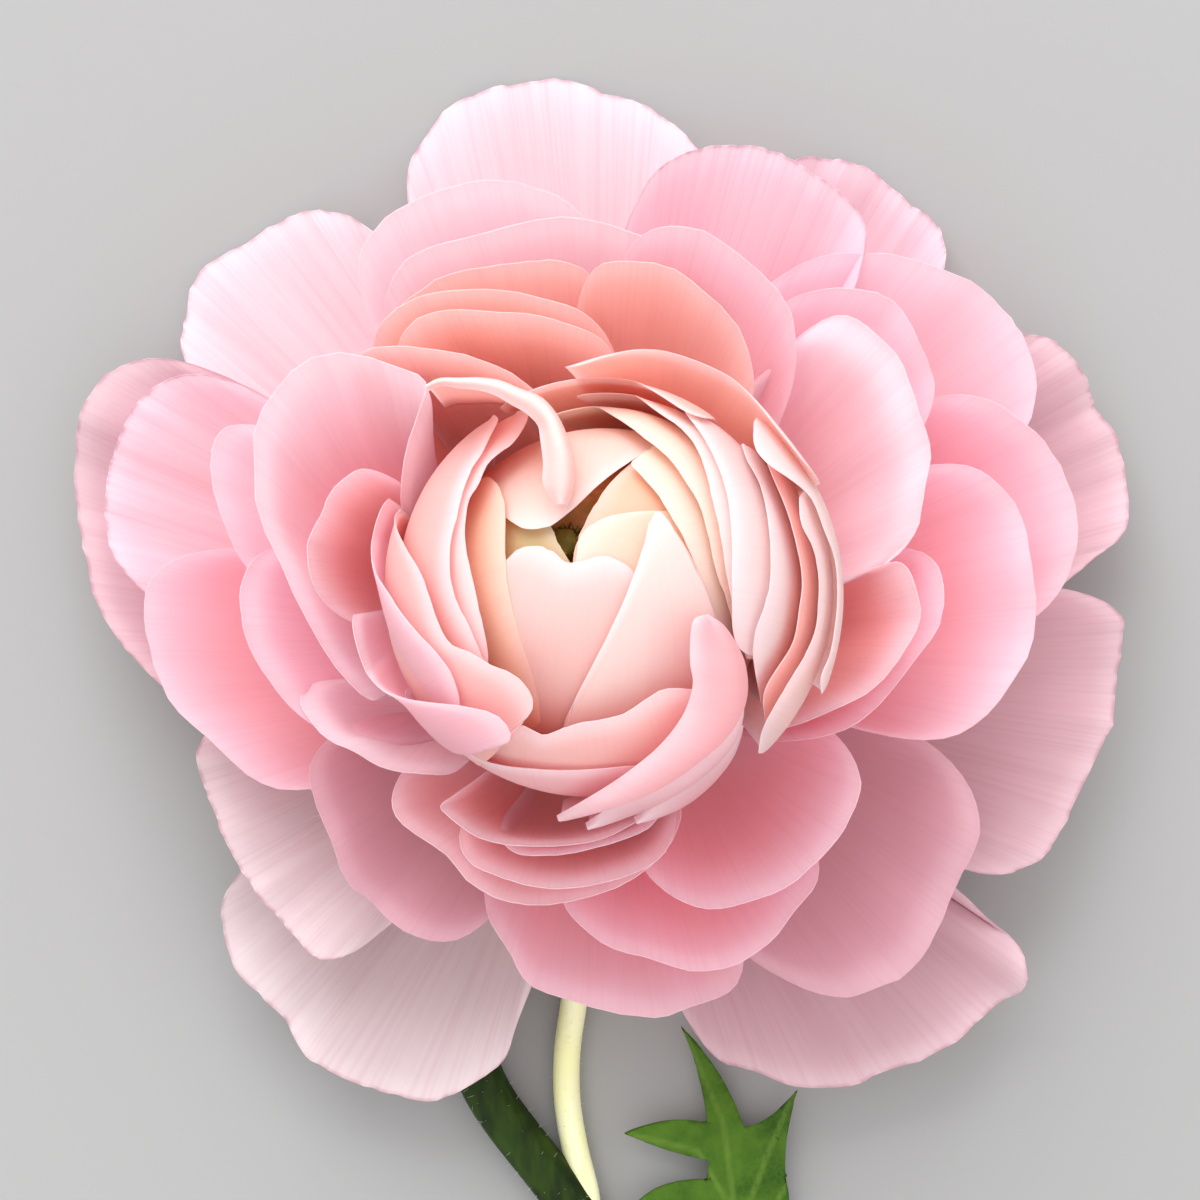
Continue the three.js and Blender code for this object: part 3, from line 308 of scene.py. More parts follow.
# A whorl's petals grow between its inner and its outer one. Each gives the height of the edge, the
# depth of the root and the root's distance from the axis.
GUARD = dict(inner=(20, 26.4, 6.5), outer=(0, 27.4, 7), across=88, along=34, seed=1,
             fold=1.0, wave=0.22, jag=0.007, lip=0.0, flare=0.0)
GUARD_PETALS = [
    # far left
    dict(edge=[(-36.5, -13.5), (-41.5, -9.5), (-45, -5), (-48, -0.5), (-49.5, 5), (-50.5, 10.5),
               (-50, 16), (-48, 21), (-44.5, 24.5), (-40, 26.5)],
         rise=(12, 9, 10), creases=((0.5, 0.9, 0.08), (0.72, -0.7, 0.05)), tone=SHADED_MIST),
    # left, in front of it
    dict(edge=[(-41, -4.5), (-45, 2), (-46.5, 6.5), (-46.5, 11.5), (-45.5, 15), (-43.5, 19),
               (-40, 22), (-36.5, 24)],
         rise=(17, 14, 15), tone=ROSE),
    # upper left
    dict(edge=[(-34, 15), (-38.5, 19.5), (-40.5, 24), (-40.5, 28), (-39, 32), (-34.5, 35),
               (-30, 37.5), (-26, 38), (-22.5, 37), (-19, 35)],
         rise=(13, 1, 9), belly=1, tone=SNOW),
    # top
    dict(edge=[(-19.5, 35), (-19.5, 40), (-18.5, 43.5), (-15.5, 48), (-11.5, 49.5), (-8, 50.5),
               (-4, 51), (0, 49.5), (4, 48.5), (7.5, 46.5), (11.5, 44), (14.5, 41)],
         rise=(8, 0.5, 7), belly=1, creases=((0.25, 1.3, 0.05), (0.62, -0.6, 0.08)), tone=SNOW),
    # far right
    dict(edge=[(37, 28.5), (42, 27), (44.5, 24.5), (47, 21), (48, 18.5), (50, 15.5), (51, 10.5),
               (50.5, 6.5), (49, 4), (48, -1)],
         rise=(10, 6, 10), creases=((0.42, 0.9, 0.08),), tone=SHADED_MIST),
    # lower right
    dict(edge=[(45.5, 3.5), (48.5, 1), (50, -2), (49.5, -6.5), (49, -11.5), (47.5, -15), (45, -20),
               (43, -23.5), (41, -25.5), (38, -27), (34, -26.5)],
         rise=(13, 10, 12), creases=((0.5, 0.9, 0.07), (0.76, -1.0, 0.05)), tone=SHADED_MIST),
    # bottom right
    dict(edge=[(33, -26.5), (36.5, -29), (38, -31), (40.5, -33.5), (40.5, -37), (39, -38.5),
               (36, -40.5), (34.5, -42), (30.5, -44), (26.5, -45.5), (24, -46.5), (19, -46.5),
               (15, -45), (11.5, -44), (9.5, -42.5), (7.5, -40), (7, -38)],
         rise=(13, 9, 12),
         creases=((0.16, 1.5, 0.03), (0.23, -1.3, 0.03), (0.31, 1.5, 0.04), (0.8, -1.4, 0.06)), tone=SHADED_MIST),
    # bottom left
    dict(edge=[(-5.5, -37.5), (-8.5, -43), (-9.5, -45), (-12.5, -46.5), (-16, -48), (-20, -47.5),
               (-23, -46.5), (-27, -44.5), (-29, -42.5), (-30.5, -40), (-32.5, -38), (-35, -35.5),
               (-36.5, -32), (-37, -29), (-36, -26.5), (-33, -23.5)],
         rise=(13, 8, 12), creases=((0.3, 1.3, 0.07), (0.5, -1.0, 0.06), (0.78, 1.0, 0.08)), tone=SHADED_PEARL),
    # lower left, with a straight rolled edge
    dict(edge=[(-23.5, -36), (-26.5, -34.5), (-29.5, -31), (-32.5, -27.5), (-35, -23.5),
               (-37, -19), (-39, -14.5), (-40, -9.5)],
         rise=(15, 14, 12), creases=((0.35, 0.8, 0.06),), tone=SHADED_PEARL),
    # upper right
    dict(edge=[(0, 33.5), (4, 39.5), (7.5, 42), (11.5, 43), (16, 42.5), (20.5, 40), (25.5, 36.5),
               (27.5, 32.5)],
         rise=(16, 14, 17), creases=((0.45, 0.8, 0.08),), tone=ROSE),
    # upper right, behind it
    dict(edge=[(15, 41.5), (19, 43.5), (23, 43), (27, 41.5), (30.5, 38.5), (33, 36.5), (34, 33),
               (34, 29.5)],
         rise=(10, 1, 10), tone=ROSE),
]


def around_axis(depth, turn, distance):
    """The point at this depth, turn in radians and distance from the bloom's axis."""
    turn = np.asarray(turn)[..., None]
    return on_axis(depth) + distance * (np.cos(turn) * AXIS_SIDE + np.sin(turn) * AXIS_FRONT)


def parabola(values, t):
    """The parabola through three values at t = 0, 0.5 and 1."""
    start, middle, end = values
    return start * (2 * t - 1) * (t - 1) + middle * 4 * t * (1 - t) + end * t * (2 * t - 1)


def smooth(value, low, high):
    """0 below low, 1 above high, and an even slope between them."""
    share = np.clip((value - low) / (high - low), 0, 1)
    return share * share * (3 - 2 * share)


def ripple(t, rng, counts):
    """A sum of sines of the given counts across the petal, with random phases, about -1 to 1."""
    phases = rng.uniform(0, 2 * math.pi, len(counts))
    strengths = rng.uniform(0.5, 1.0, len(counts))
    waves = np.sin(2 * math.pi * np.outer(t, counts) + phases) * strengths
    return waves.sum(axis=1) / strengths.sum()


def open_petal(t, v, whorl, rng, edge, rise, root=None, fan=50, belly=4.0, cup=1.5, curl=0.0,
               fold=None, wave=None, lip=None, flare=None, creases=()):
    """A petal from its root to its free edge, t across it and v along it.

    Edge is the free edge seen from above, and rise its height at the start, middle and end. Root is
    the way that the petal's root faces and fan how wide it is, both in degrees. Each line from root to
    edge is the quadratic Bezier curve through root, bow point and edge point, bowed outward by belly
    and by cup more along the midrib. Flare opens its upper part outward to the edge, curl and lip turn
    its end outward. Folds are broad ripples that grow with v squared, waves are finer ones near the
    edge, and jag shortens the petal a little by the finest ones. A crease is a single lengthwise
    ridge: where it runs across the petal, its height and its width. Where the petal meets the floor,
    it lies flat on it.
    """
    fold, wave, lip, flare = (whorl[name] if value is None else value for name, value in
                              (("fold", fold), ("wave", wave), ("lip", lip), ("flare", flare)))
    heights = parabola(rise, np.linspace(0, 1, len(edge)))
    outline = np.column_stack([edge, heights])
    middle = outline.mean(axis=0)
    share = (rise[1] - whorl["inner"][0]) / (whorl["outer"][0] - whorl["inner"][0])
    depth, radius = (inner + share * (outer - inner) for inner, outer in
                     zip(whorl["inner"][1:], whorl["outer"][1:]))
    foot = on_axis(depth)
    turn = math.atan2(middle[1] - foot[1], middle[0] - foot[0]) if root is None else math.radians(root)
    out = np.array([math.cos(turn), math.sin(turn), 0.0])
    down = np.array([0.0, 0.0, -1.0])
    along = unit(middle - foot)
    bow = unit(down - down.dot(along) * along + out - out.dot(along) * along)

    roots = around_axis(depth, turn - (t - 0.5) * math.radians(fan), radius)
    ends = catmull_rom(outline, t) - flare * out
    bows = (roots + ends) / 2 + 2 * belly * bow
    corner = 1 - OPEN_CORNER * np.abs(2 * t - 1) ** 7
    torn = 1 - whorl["jag"] * (0.5 + 0.5 * ripple(t, rng, (9, 14, 23, 37)))
    s = (v[:, None] * corner * torn)[..., None]
    rib = (4 * t * (1 - t))[:, None]
    points = (1 - s) ** 2 * roots + 2 * s * (1 - s) * bows + s**2 * ends
    points += bow * cup * rib * np.sin(math.pi * s)
    points += flare * out * s**4 + (0.8 * down + 0.5 * out) * curl * s**8
    ridges = fold * ripple(t, rng, (1.4, 2.6, 4.1))
    for middle_t, height, width in creases:
        ridges = ridges + height * np.exp(-((t - middle_t) / width) ** 2)
    folds = ridges * v[:, None] ** 2
    waves = wave * ripple(t, rng, (6.0, 9.5, 15.0)) * smooth(v, 0.7, 1.0)[:, None] ** 2
    lips = lip * smooth(v, 0.86, 1.0)[:, None] ** 2 * np.ones_like(t)
    points = points + (folds + waves + lips)[..., None] * bow
    points[..., 2] = np.maximum(points[..., 2], 0.6 * PETAL_THICKNESS)
    return points


def shell_faces(rows, columns):
    """Faces of a closed thin shell: the outer skin's quads, the inner skin's, and the band between."""
    index = np.arange(rows * columns).reshape(rows, columns)
    skin = np.stack([index[:-1, :-1], index[1:, :-1], index[1:, 1:], index[:-1, 1:]], -1).reshape(-1, 4)
    rim = np.concatenate([index[0, :-1], index[:-1, -1], index[-1, :0:-1], index[:0:-1, 0]])
    onward = np.roll(rim, -1)
    offset = rows * columns
    band = np.stack([rim, onward, onward + offset, rim + offset], axis=-1)
    return np.concatenate([skin, skin[:, ::-1] + offset, band])


def petal_shell(surface, thickness):
    """Points, faces and distance from the free edge of one petal, inner skin first, then outer.

    The petal thins to a quarter of its thickness over the margin before its edge.
    """
    rows, columns = surface.shape[:2]
    onward = np.gradient(surface, axis=0)
    sideways = np.gradient(surface, axis=1)
    outward = unit(np.cross(onward, sideways))
    steps = np.linalg.norm(np.diff(surface, axis=0), axis=-1)
    from_end = np.vstack([np.cumsum(steps[::-1], axis=0)[::-1], np.zeros(columns)])
    across = np.linalg.norm(np.diff(surface, axis=1), axis=-1)
    from_left = np.hstack([np.zeros((rows, 1)), np.cumsum(across, axis=1)])
    from_side = np.minimum(from_left, from_left[:, -1:] - from_left)
    from_edge = np.minimum(from_end, 0.3 + 1.6 * from_side)
    half = 0.5 * thickness * (0.25 + 0.75 * smooth(from_edge, 0.0, PETAL_MARGIN))[..., None]
    points = np.concatenate([(surface - half * outward).reshape(-1, 3),
                             (surface + half * outward).reshape(-1, 3)])
    return points, shell_faces(rows, columns), np.tile(from_edge.ravel(), 2)


def add_petals(name, petals, shape, whorl, material, node):
    """All petals of a whorl as one mesh in the place of a CAD node, with tones and coordinates."""
    t = 0.5 - 0.5 * np.cos(np.linspace(0, math.pi, whorl["across"] + 1))
    v = np.sin(np.linspace(0, math.pi / 2, whorl["along"] + 1))
    foot = whorl.get("foot", 0.0)
    grid = np.stack(np.meshgrid(t, foot + (1 - foot) * v), axis=-1).reshape(-1, 2)
    points, faces, edges, spots, tones = [], [], [], [], ([], [])
    for number, petal in enumerate(petals):
        own = {key: value for key, value in petal.items() if key not in ("tone", "rim")}
        rng = np.random.default_rng(1000 * whorl["seed"] + number)
        skin, quads, from_edge = petal_shell(shape(t, v, whorl, rng, **own), PETAL_THICKNESS)
        faces.append(quads + number * len(skin))
        points.append(skin)
        edges.append(from_edge / petal.get("rim", 1.0))
        spots.append(np.tile(grid + (number, 0), (2, 1)))
        for store, colour in zip(tones, petal["tone"]):
            store.append(np.tile(colour, (len(skin), 1)))
    mesh = add_piece(name, np.concatenate(points), np.concatenate(faces).tolist(), material, [node],
                     node).data
    back = np.tile(np.repeat([0.0, 1.0], len(grid)), len(petals))
    for label, values in (("from_edge", np.concatenate(edges)), ("back", back)):
        mesh.attributes.new(label, "FLOAT", "POINT").data.foreach_set("value", values.astype(np.float32))
    for label, colours in zip(("deep_tone", "rim_tone"), tones):
        layer = mesh.color_attributes.new(label, "FLOAT_COLOR", "POINT")
        layer.data.foreach_set("color", np.concatenate(colours).astype(np.float32).ravel())
    spot = np.concatenate(spots).astype(np.float32)
    corners = np.zeros(len(mesh.loops), np.int32)
    mesh.loops.foreach_get("vertex_index", corners)
    mesh.uv_layers.new(name="petal").data.foreach_set("uv", spot[corners].ravel())


def petal_tissue():
    """Shader group: a petal's colour, roughness and relief from its tones, edge and coordinates."""
    group = bpy.data.node_groups.new("petal_tissue", "ShaderNodeTree")
    face = group.interface
    for label, start in (("Streaks", 0.2), ("Rim Width", 4.0), ("Edge Line", 0.0), ("Back Pale", 0.35),
                         ("Inside", 0.0), ("Rim Glow", 0.3), ("Flush", 0.2)):
        face.new_socket(label, in_out="INPUT", socket_type="NodeSocketFloat").default_value = start
    for label, kind in (("Color", "NodeSocketColor"), ("Roughness", "NodeSocketFloat"),
                        ("Height", "NodeSocketFloat")):
        face.new_socket(label, in_out="OUTPUT", socket_type=kind)
    given = group.nodes.new("NodeGroupInput").outputs
    result = group.nodes.new("NodeGroupOutput")

    def attribute(label, output):
        return add_node(group, "ShaderNodeAttribute", attribute_name=label).outputs[output]

    spot = add_node(group, "ShaderNodeUVMap", uv_map="petal").outputs[0]
    place = add_node(group, "ShaderNodeTexCoord").outputs["Object"]
    from_edge = attribute("from_edge", "Fac")
    along = add_node(group, "ShaderNodeSeparateXYZ", {0: spot}).outputs["Y"]
    fine = noise(group, scaled(group, spot, (110.0, 2.2, 1.0)), 1.0, 3.0)
    broad = noise(group, scaled(group, spot, (26.0, 1.1, 1.0)), 1.0, 2.0)
    cloud = noise(group, place, 75.0, 2.0)

    # Tone: deep inside, the rim's own at the free edge, with a soft uneven border between them.
    fading = worked_out(group, "DIVIDE", from_edge, given["Rim Width"])
    depth = worked_out(group, "SUBTRACT", 1.0, worked_out(group, "POWER", 0.37,
                                                         worked_out(group, "POWER", fading, 1.4)))
    drift = worked_out(group, "MULTIPLY", worked_out(group, "SUBTRACT", cloud, 0.5), given["Flush"])
    share = add_node(group, "ShaderNodeMath", {0: depth, 1: worked_out(group, "MULTIPLY", drift, 2.0)},
                     operation="ADD", use_clamp=True).outputs[0]
    colour = mixed(group, share, attribute("rim_tone", "Color"), attribute("deep_tone", "Color"))
    paler = worked_out(group, "MULTIPLY", attribute("back", "Fac"), given["Back Pale"])
    colour = mixed(group, paler, colour, mixed(group, 0.35, attribute("rim_tone", "Color"),
                                               srgb(255, 250, 246)))

    # The inside of a closed petal is a warmer coral than its outside, away from its rim.
    inside = worked_out(group, "MULTIPLY", worked_out(group, "SUBTRACT", 1.0, attribute("back", "Fac")),
                        worked_out(group, "MULTIPLY", between(group, from_edge, 0.3, 2.5), given["Inside"]))
    colour = mixed(group, inside, colour, srgb(255, 172, 158))

    # A narrow paler band along the free edge, where the petal is thinnest: a painted highlight of the light
    # that the thin edge catches.
    band = worked_out(group, "MULTIPLY", between(group, from_edge, 0.2, 2.6, 1.0, 0.0), given["Rim Glow"])
    colour = mixed(group, band, colour, srgb(255, 244, 247))

    # Greenish cream where the petal joins the receptacle.
    claw = between(group, along, 0.02, 0.22, 0.5, 0.0)
    colour = mixed(group, claw, colour, srgb(232, 236, 190))

    # Lengthwise streaks, and a thin deeper line along the very edge.
    streak = worked_out(group, "ADD", worked_out(group, "MULTIPLY", fine, 0.6),
                        worked_out(group, "MULTIPLY", broad, 0.4))
    dark = worked_out(group, "MULTIPLY", between(group, streak, 0.42, 0.66), given["Streaks"])
    colour = mixed(group, dark, colour, mixed(group, 1.0, colour, srgb(226, 178, 196), "MULTIPLY"))
    edge = worked_out(group, "MULTIPLY", between(group, from_edge, 0.0, 0.45, 1.0, 0.0),
                      worked_out(group, "MULTIPLY", between(group, broad, 0.35, 0.6), given["Edge Line"]))
    colour = mixed(group, edge, colour, srgb(196, 128, 156))

    group.links.new(colour, result.inputs["Color"])
    group.links.new(between(group, fine, 0.3, 0.7, 0.46, 0.62), result.inputs["Roughness"])
    group.links.new(streak, result.inputs["Height"])
    return group


tissue_group = petal_tissue()


def petal_material(name, see_through, relief, **values):
    """Petal skin: the tissue group on a principled shader, and the light that shines through it."""
    material, tree, shader, glow = new_material(name, 0.5, 0.25, see_through, Sheen_Weight=0.12,
                                                Sheen_Roughness=0.4)
    tissue = add_node(tree, "ShaderNodeGroup", node_tree=tissue_group)
    for label, value in values.items():
        tissue.inputs[label.replace("_", " ")].default_value = value
    bump = add_node(tree, "ShaderNodeBump", {"Height": tissue.outputs["Height"],
                                             "Distance": relief * MM, "Strength": 0.7})
    tree.links.new(tissue.outputs["Color"], shader.inputs["Base Color"])
    tree.links.new(tissue.outputs["Color"], glow.inputs["Color"])
    tree.links.new(tissue.outputs["Roughness"], shader.inputs["Roughness"])
    tree.links.new(bump.outputs[0], shader.inputs["Normal"])
    return material


guard_skin = petal_material("guard_petal_skin", 0.4, 0.06, Streaks=0.18, Rim_Width=9.0, Edge_Line=0.45,
                            Back_Pale=0.2, Flush=0.35)
add_petals("guard_whorl", GUARD_PETALS, open_petal, GUARD, guard_skin, "guard_petals")

# -----------------------------------------------------------------------------
# Cup petals
# Rings of firm rounded petals that stand open round the bud, coral inside and fading to pale lilac
# pink at their rims. Their rims turn outward a little and catch the light.
# -----------------------------------------------------------------------------
PINK = (srgb(254, 194, 204), srgb(255, 224, 235))
CORAL = (srgb(255, 200, 196), srgb(255, 230, 236))
PEACH = (srgb(255, 206, 194), srgb(255, 228, 224))
FOLDED = (srgb(254, 196, 204), srgb(255, 240, 247))
# The next tone is the cup pink made greyer and darker for two lower cup petals: painted shade.
SHADED_PINK = (srgb(216, 162, 172), srgb(238, 196, 208))

CUP = dict(inner=(40, 21.4, 5.5), outer=(16, 23.4, 8.5), across=40, along=30, seed=2,
           fold=0.45, wave=0.12, jag=0.006, lip=0.3, flare=2.0)
CUP_PETALS = [
    # top left, lowest, under the tall one
    dict(edge=[(-30, 14), (-29, 18), (-27, 20), (-25, 22), (-22, 22.5)],
         rise=(14, 15, 14), belly=5, tone=ROSE),
    # upper right
    dict(edge=[(14, 33.5), (20.5, 34), (25, 33), (28.5, 32.5), (33, 31), (36, 29.5), (38.5, 27),
               (40, 25), (41.5, 21.5), (42.5, 17.5), (43, 14)],
         rise=(16, 14, 15), tone=ROSE),
    # right
    dict(edge=[(31, 21.5), (35, 20), (39, 17), (42, 14), (44, 10), (44.5, 6.5), (44, 3),
               (42.5, -1), (40.5, -4.5)],
         rise=(20, 19, 19), belly=5, rim=1.4, creases=((0.45, 0.8, 0.1),), tone=PINK),
    # right, in front
    dict(edge=[(28.5, 14), (33, 13.5), (36, 11.5), (38.5, 8), (39.5, 4), (40, 0), (39.5, -4.5),
               (36.5, -9.5), (33, -12.5), (28.5, -13), (24.5, -11.5)],
         rise=(23, 24, 22), belly=3.5, creases=((0.3, 0.8, 0.08), (0.66, -0.6, 0.08)), tone=PINK),
    # left, low
    dict(edge=[(-25, -19), (-31.5, -18), (-36, -13.5), (-40, -9.5), (-42, -4.5), (-42.5, 0),
               (-41, 3), (-37.5, 5), (-34, 6)],
         rise=(17, 19, 18), rim=0.7, creases=((0.5, 0.8, 0.09),), tone=PINK),
    # lower left
    dict(edge=[(-9.5, -32), (-14, -32.5), (-18.5, -30.5), (-21, -28), (-23.5, -26), (-25, -22),
               (-26.5, -18.5), (-27.5, -15), (-26, -11)],
         rise=(20, 21, 20), creases=((0.35, 1.0, 0.08), (0.6, -0.8, 0.07)), tone=SHADED_PINK),
    # top left, under the tall one
    dict(edge=[(-29.5, 11), (-29.5, 14.5), (-28, 18), (-25.5, 20.5), (-23, 21.5)],
         rise=(23, 24, 23), belly=5, tone=ROSE),
    # lower right
    dict(edge=[(32.5, -12), (34.5, -15.5), (35.5, -19.5), (35, -23), (33.5, -26), (32, -29.5),
               (30.5, -32.5), (28.5, -35), (25, -36.5), (22.5, -37.5), (18.5, -37.5), (13, -37)],
         rise=(21, 19, 18), lip=0.8, rim=1.5, creases=((0.4, 1.0, 0.08), (0.7, -0.9, 0.06)), tone=SHADED_PINK),
    # bottom, outermost
    dict(edge=[(16, -32.5), (13.5, -36.5), (9, -37.5), (5.5, -38.5), (1, -38), (-2.5, -37),
               (-6.5, -35.5), (-8.5, -32.5), (-11, -29.5), (-12.5, -26)],
         rise=(20, 22, 20), belly=6, creases=((0.72, -1.2, 0.06), (0.5, 0.6, 0.1)), tone=PINK),
    # bottom, second
    dict(edge=[(22.5, -21), (21, -25.5), (18, -28), (15.5, -31), (12, -33), (8, -33.5),
               (4.5, -32.5), (1, -31.5), (-2, -29.5), (-4, -27.5), (-5.5, -24.5)],
         rise=(26, 28, 26), fan=36, belly=5, tone=PINK),
    # bottom right, third
    dict(edge=[(24, -11), (24, -15.5), (23, -18), (21.5, -21), (19, -23.5), (16, -26), (12.5, -27),
               (9, -27.5), (5.5, -26.5), (2, -25)],
         rise=(30, 33, 31), belly=4.5, tone=PINK),
    # top left
    dict(edge=[(-23.5, 27), (-23, 31.5), (-20.5, 35), (-16.5, 37.5), (-11, 39), (-6.5, 38.5),
               (-2, 37), (2, 34.5)],
         rise=(20, 20, 20), belly=4, creases=((0.4, 0.8, 0.08),), tone=SNOW),
    # left, second
    dict(edge=[(-27.5, -1), (-32, 2.5), (-34.5, 7.5), (-35.5, 12), (-35, 15.5), (-33, 19)],
         rise=(24, 26, 24), tone=ROSE),
    # left, third
    dict(edge=[(-16, -15), (-22.5, -13), (-27, -10), (-29.5, -7), (-31.5, -3.5), (-32, 0),
               (-31.5, 4), (-29.5, 7.5)],
         rise=(29, 32, 29), belly=5, lip=0.9, rim=1.8, tone=PINK),
    # top, second
    dict(edge=[(-24, 26.5), (-20, 30), (-16.5, 32), (-11, 33.5), (-3.5, 35), (3.5, 33.5), (9, 31),
               (13, 27.5), (15, 23.5)],
         rise=(24, 25, 25), belly=5, tone=SNOW),
    # top right, second
    dict(edge=[(0, 33), (4.5, 34), (9, 33.5), (13.5, 30.5), (17, 26.5), (18, 22), (18.5, 17.5)],
         rise=(27, 29, 27), belly=5, tone=ROSE),
    # upper right, third
    dict(edge=[(15.5, 31), (23, 29), (27, 27.5), (29.5, 23.5), (31, 19), (30.5, 13.5)],
         rise=(22, 23, 22), belly=5, tone=ROSE),
    # top right, fourth
    dict(edge=[(-3.5, 29), (0, 30.5), (5.5, 30), (9, 28), (12.5, 24), (14, 19.5), (14, 16)],
         rise=(30, 32, 30), belly=5, tone=PEACH),
    # top, third
    dict(edge=[(-22, 24.5), (-18, 27), (-13.5, 29.5), (-7, 30.5), (-2, 30.5), (2.5, 28)],
         rise=(27, 29, 27), belly=5, tone=PEACH),
    # top, fourth
    dict(edge=[(-23.5, 20.5), (-20.5, 24.5), (-17, 26.5), (-13.5, 27.5), (-9, 27.5), (-3.5, 26.5),
               (0, 25), (3.5, 22.5)],
         rise=(32, 34, 32), belly=5, tone=PEACH),
    # top, fifth
    dict(edge=[(-20.5, 22), (-18.5, 23.5), (-16, 25), (-12.5, 25.5), (-9, 25.5),
               (-5, 25), (-1.5, 24), (1, 23), (3, 21.5)],
         rise=(34, 36, 34), belly=5, tone=PEACH),
    # right, broad rim
    dict(edge=[(15.5, 25), (20.5, 26), (23.5, 23.5), (26, 20.5), (27.5, 16.5), (28.5, 12.5),
               (28, 9), (27.5, 5.5), (25.5, 2.5), (21.5, 0.5)],
         rise=(31, 33, 31), belly=6, curl=2, lip=1.4, rim=2.2, tone=FOLDED),
    # lower left, with a broad pale rim
    dict(edge=[(-28.5, -5.5), (-27, -9), (-24.5, -12), (-21.5, -13.5), (-18.5, -15),
               (-15, -15.5), (-12.5, -15.5), (-10.5, -14.5)],
         rise=(31, 32, 31), belly=4.5, fold=0.3, wave=0.08, lip=0.9, rim=1.7, tone=FOLDED),
    # lower right, second
    dict(edge=[(26.5, 7), (30, 4.5), (31, 1), (30.5, -2), (29, -4.5), (26, -8.5), (22.5, -11.5),
               (18, -13), (13, -14)],
         rise=(28, 30, 28), belly=6, tone=PINK),
    # lower right, third
    dict(edge=[(24, 2.5), (27, 3.5), (28.5, -0.5), (27, -4.5), (24, -8), (19.5, -10.5), (14, -13.5)],
         rise=(31, 34, 31), belly=6, tone=CORAL),
    # bottom cup
    dict(edge=[(8, -16), (8, -19), (6, -22.5), (2, -25.5), (-3.5, -27), (-8, -27), (-11.5, -25.5),
               (-14, -22.5), (-18, -20), (-19.5, -17.5), (-20, -14)],
         rise=(30, 31, 30), belly=4.5, fold=0.3, wave=0.05, tone=CORAL),
    # bottom cup, second
    dict(edge=[(9, -17.5), (5.5, -23), (0, -25), (-4.5, -25.5), (-9, -24.5), (-12, -23),
               (-14.5, -20.5)],
         rise=(33, 34, 33), belly=4.5, fold=0.2, wave=0.05, tone=CORAL),
    # bottom cup, third
    dict(edge=[(7, -17.5), (4.5, -20), (2, -21), (-2, -22), (-5.5, -22.5), (-8, -22),
               (-10.5, -20.5)],
         rise=(35, 36, 35), belly=4.5, fold=0.2, wave=0.05, rim=0.5, tone=FOLDED),
    # bottom cup, innermost
    dict(edge=[(8, -17.5), (3.5, -19.5), (0, -21), (-5, -21.5), (-9.5, -21), (-12.5, -19.5),
               (-14, -18), (-13, -17), (-10.5, -15)],
         rise=(36, 38, 36), belly=4.5, fold=0.2, wave=0.05, tone=CORAL),
    # top left, innermost
    dict(edge=[(-24, 20), (-21, 22), (-15, 22), (-10.5, 21), (-7, 19.5), (-3.5, 17.5)],
         rise=(37, 38, 37), belly=6, tone=PEACH),
    # left, tall and folded at its rim
    dict(edge=[(-19.5, -9), (-20, -10), (-22, -7.5), (-24, -4), (-26, 0),
               (-27.5, 4), (-29, 8), (-29, 12), (-29, 15.5), (-27.5, 18),
               (-26, 20), (-23.5, 21.5), (-20, 21.5), (-17, 20.5), (-14.5, 19.5),
               (-14, 18.5), (-14.5, 16.5), (-15.5, 14.5), (-16.5, 11.5), (-17, 8.5),
               (-17.5, 6.5)],
         rise=(34, 39, 41), root=170, fan=40, belly=6, curl=2, flare=0.8, lip=0.6, rim=1.8, tone=FOLDED),
    # left, innermost
    dict(edge=[(-22.5, -3.5), (-25.5, 2.5), (-24, 8), (-21.5, 11), (-18.5, 12)],
         rise=(39, 41, 40), belly=6, tone=CORAL),
]

cup_skin = petal_material("cup_petal_skin", 0.5, 0.04, Streaks=0.10, Rim_Width=8.0, Edge_Line=0.0,
                          Back_Pale=0.4, Flush=0.3)
add_petals("cup_whorls", CUP_PETALS, open_petal, CUP, cup_skin, "cup_petals")

# -----------------------------------------------------------------------------
# Loose rims
# Petals on their way from bud to cup: curved shells whose long free rims stand off the ball, pale
# outside and coral in the gap behind them, and three narrow tips that sweep round its front.
# -----------------------------------------------------------------------------
LILAC = (srgb(254, 208, 220), srgb(255, 234, 244))
BLUSH = (srgb(254, 209, 200), srgb(255, 229, 229))
PALE = (srgb(255, 235, 230), srgb(255, 246, 246))
SHELL_PINK = (srgb(254, 204, 208), srgb(255, 228, 236))
ROOT_POLAR = math.radians(140)

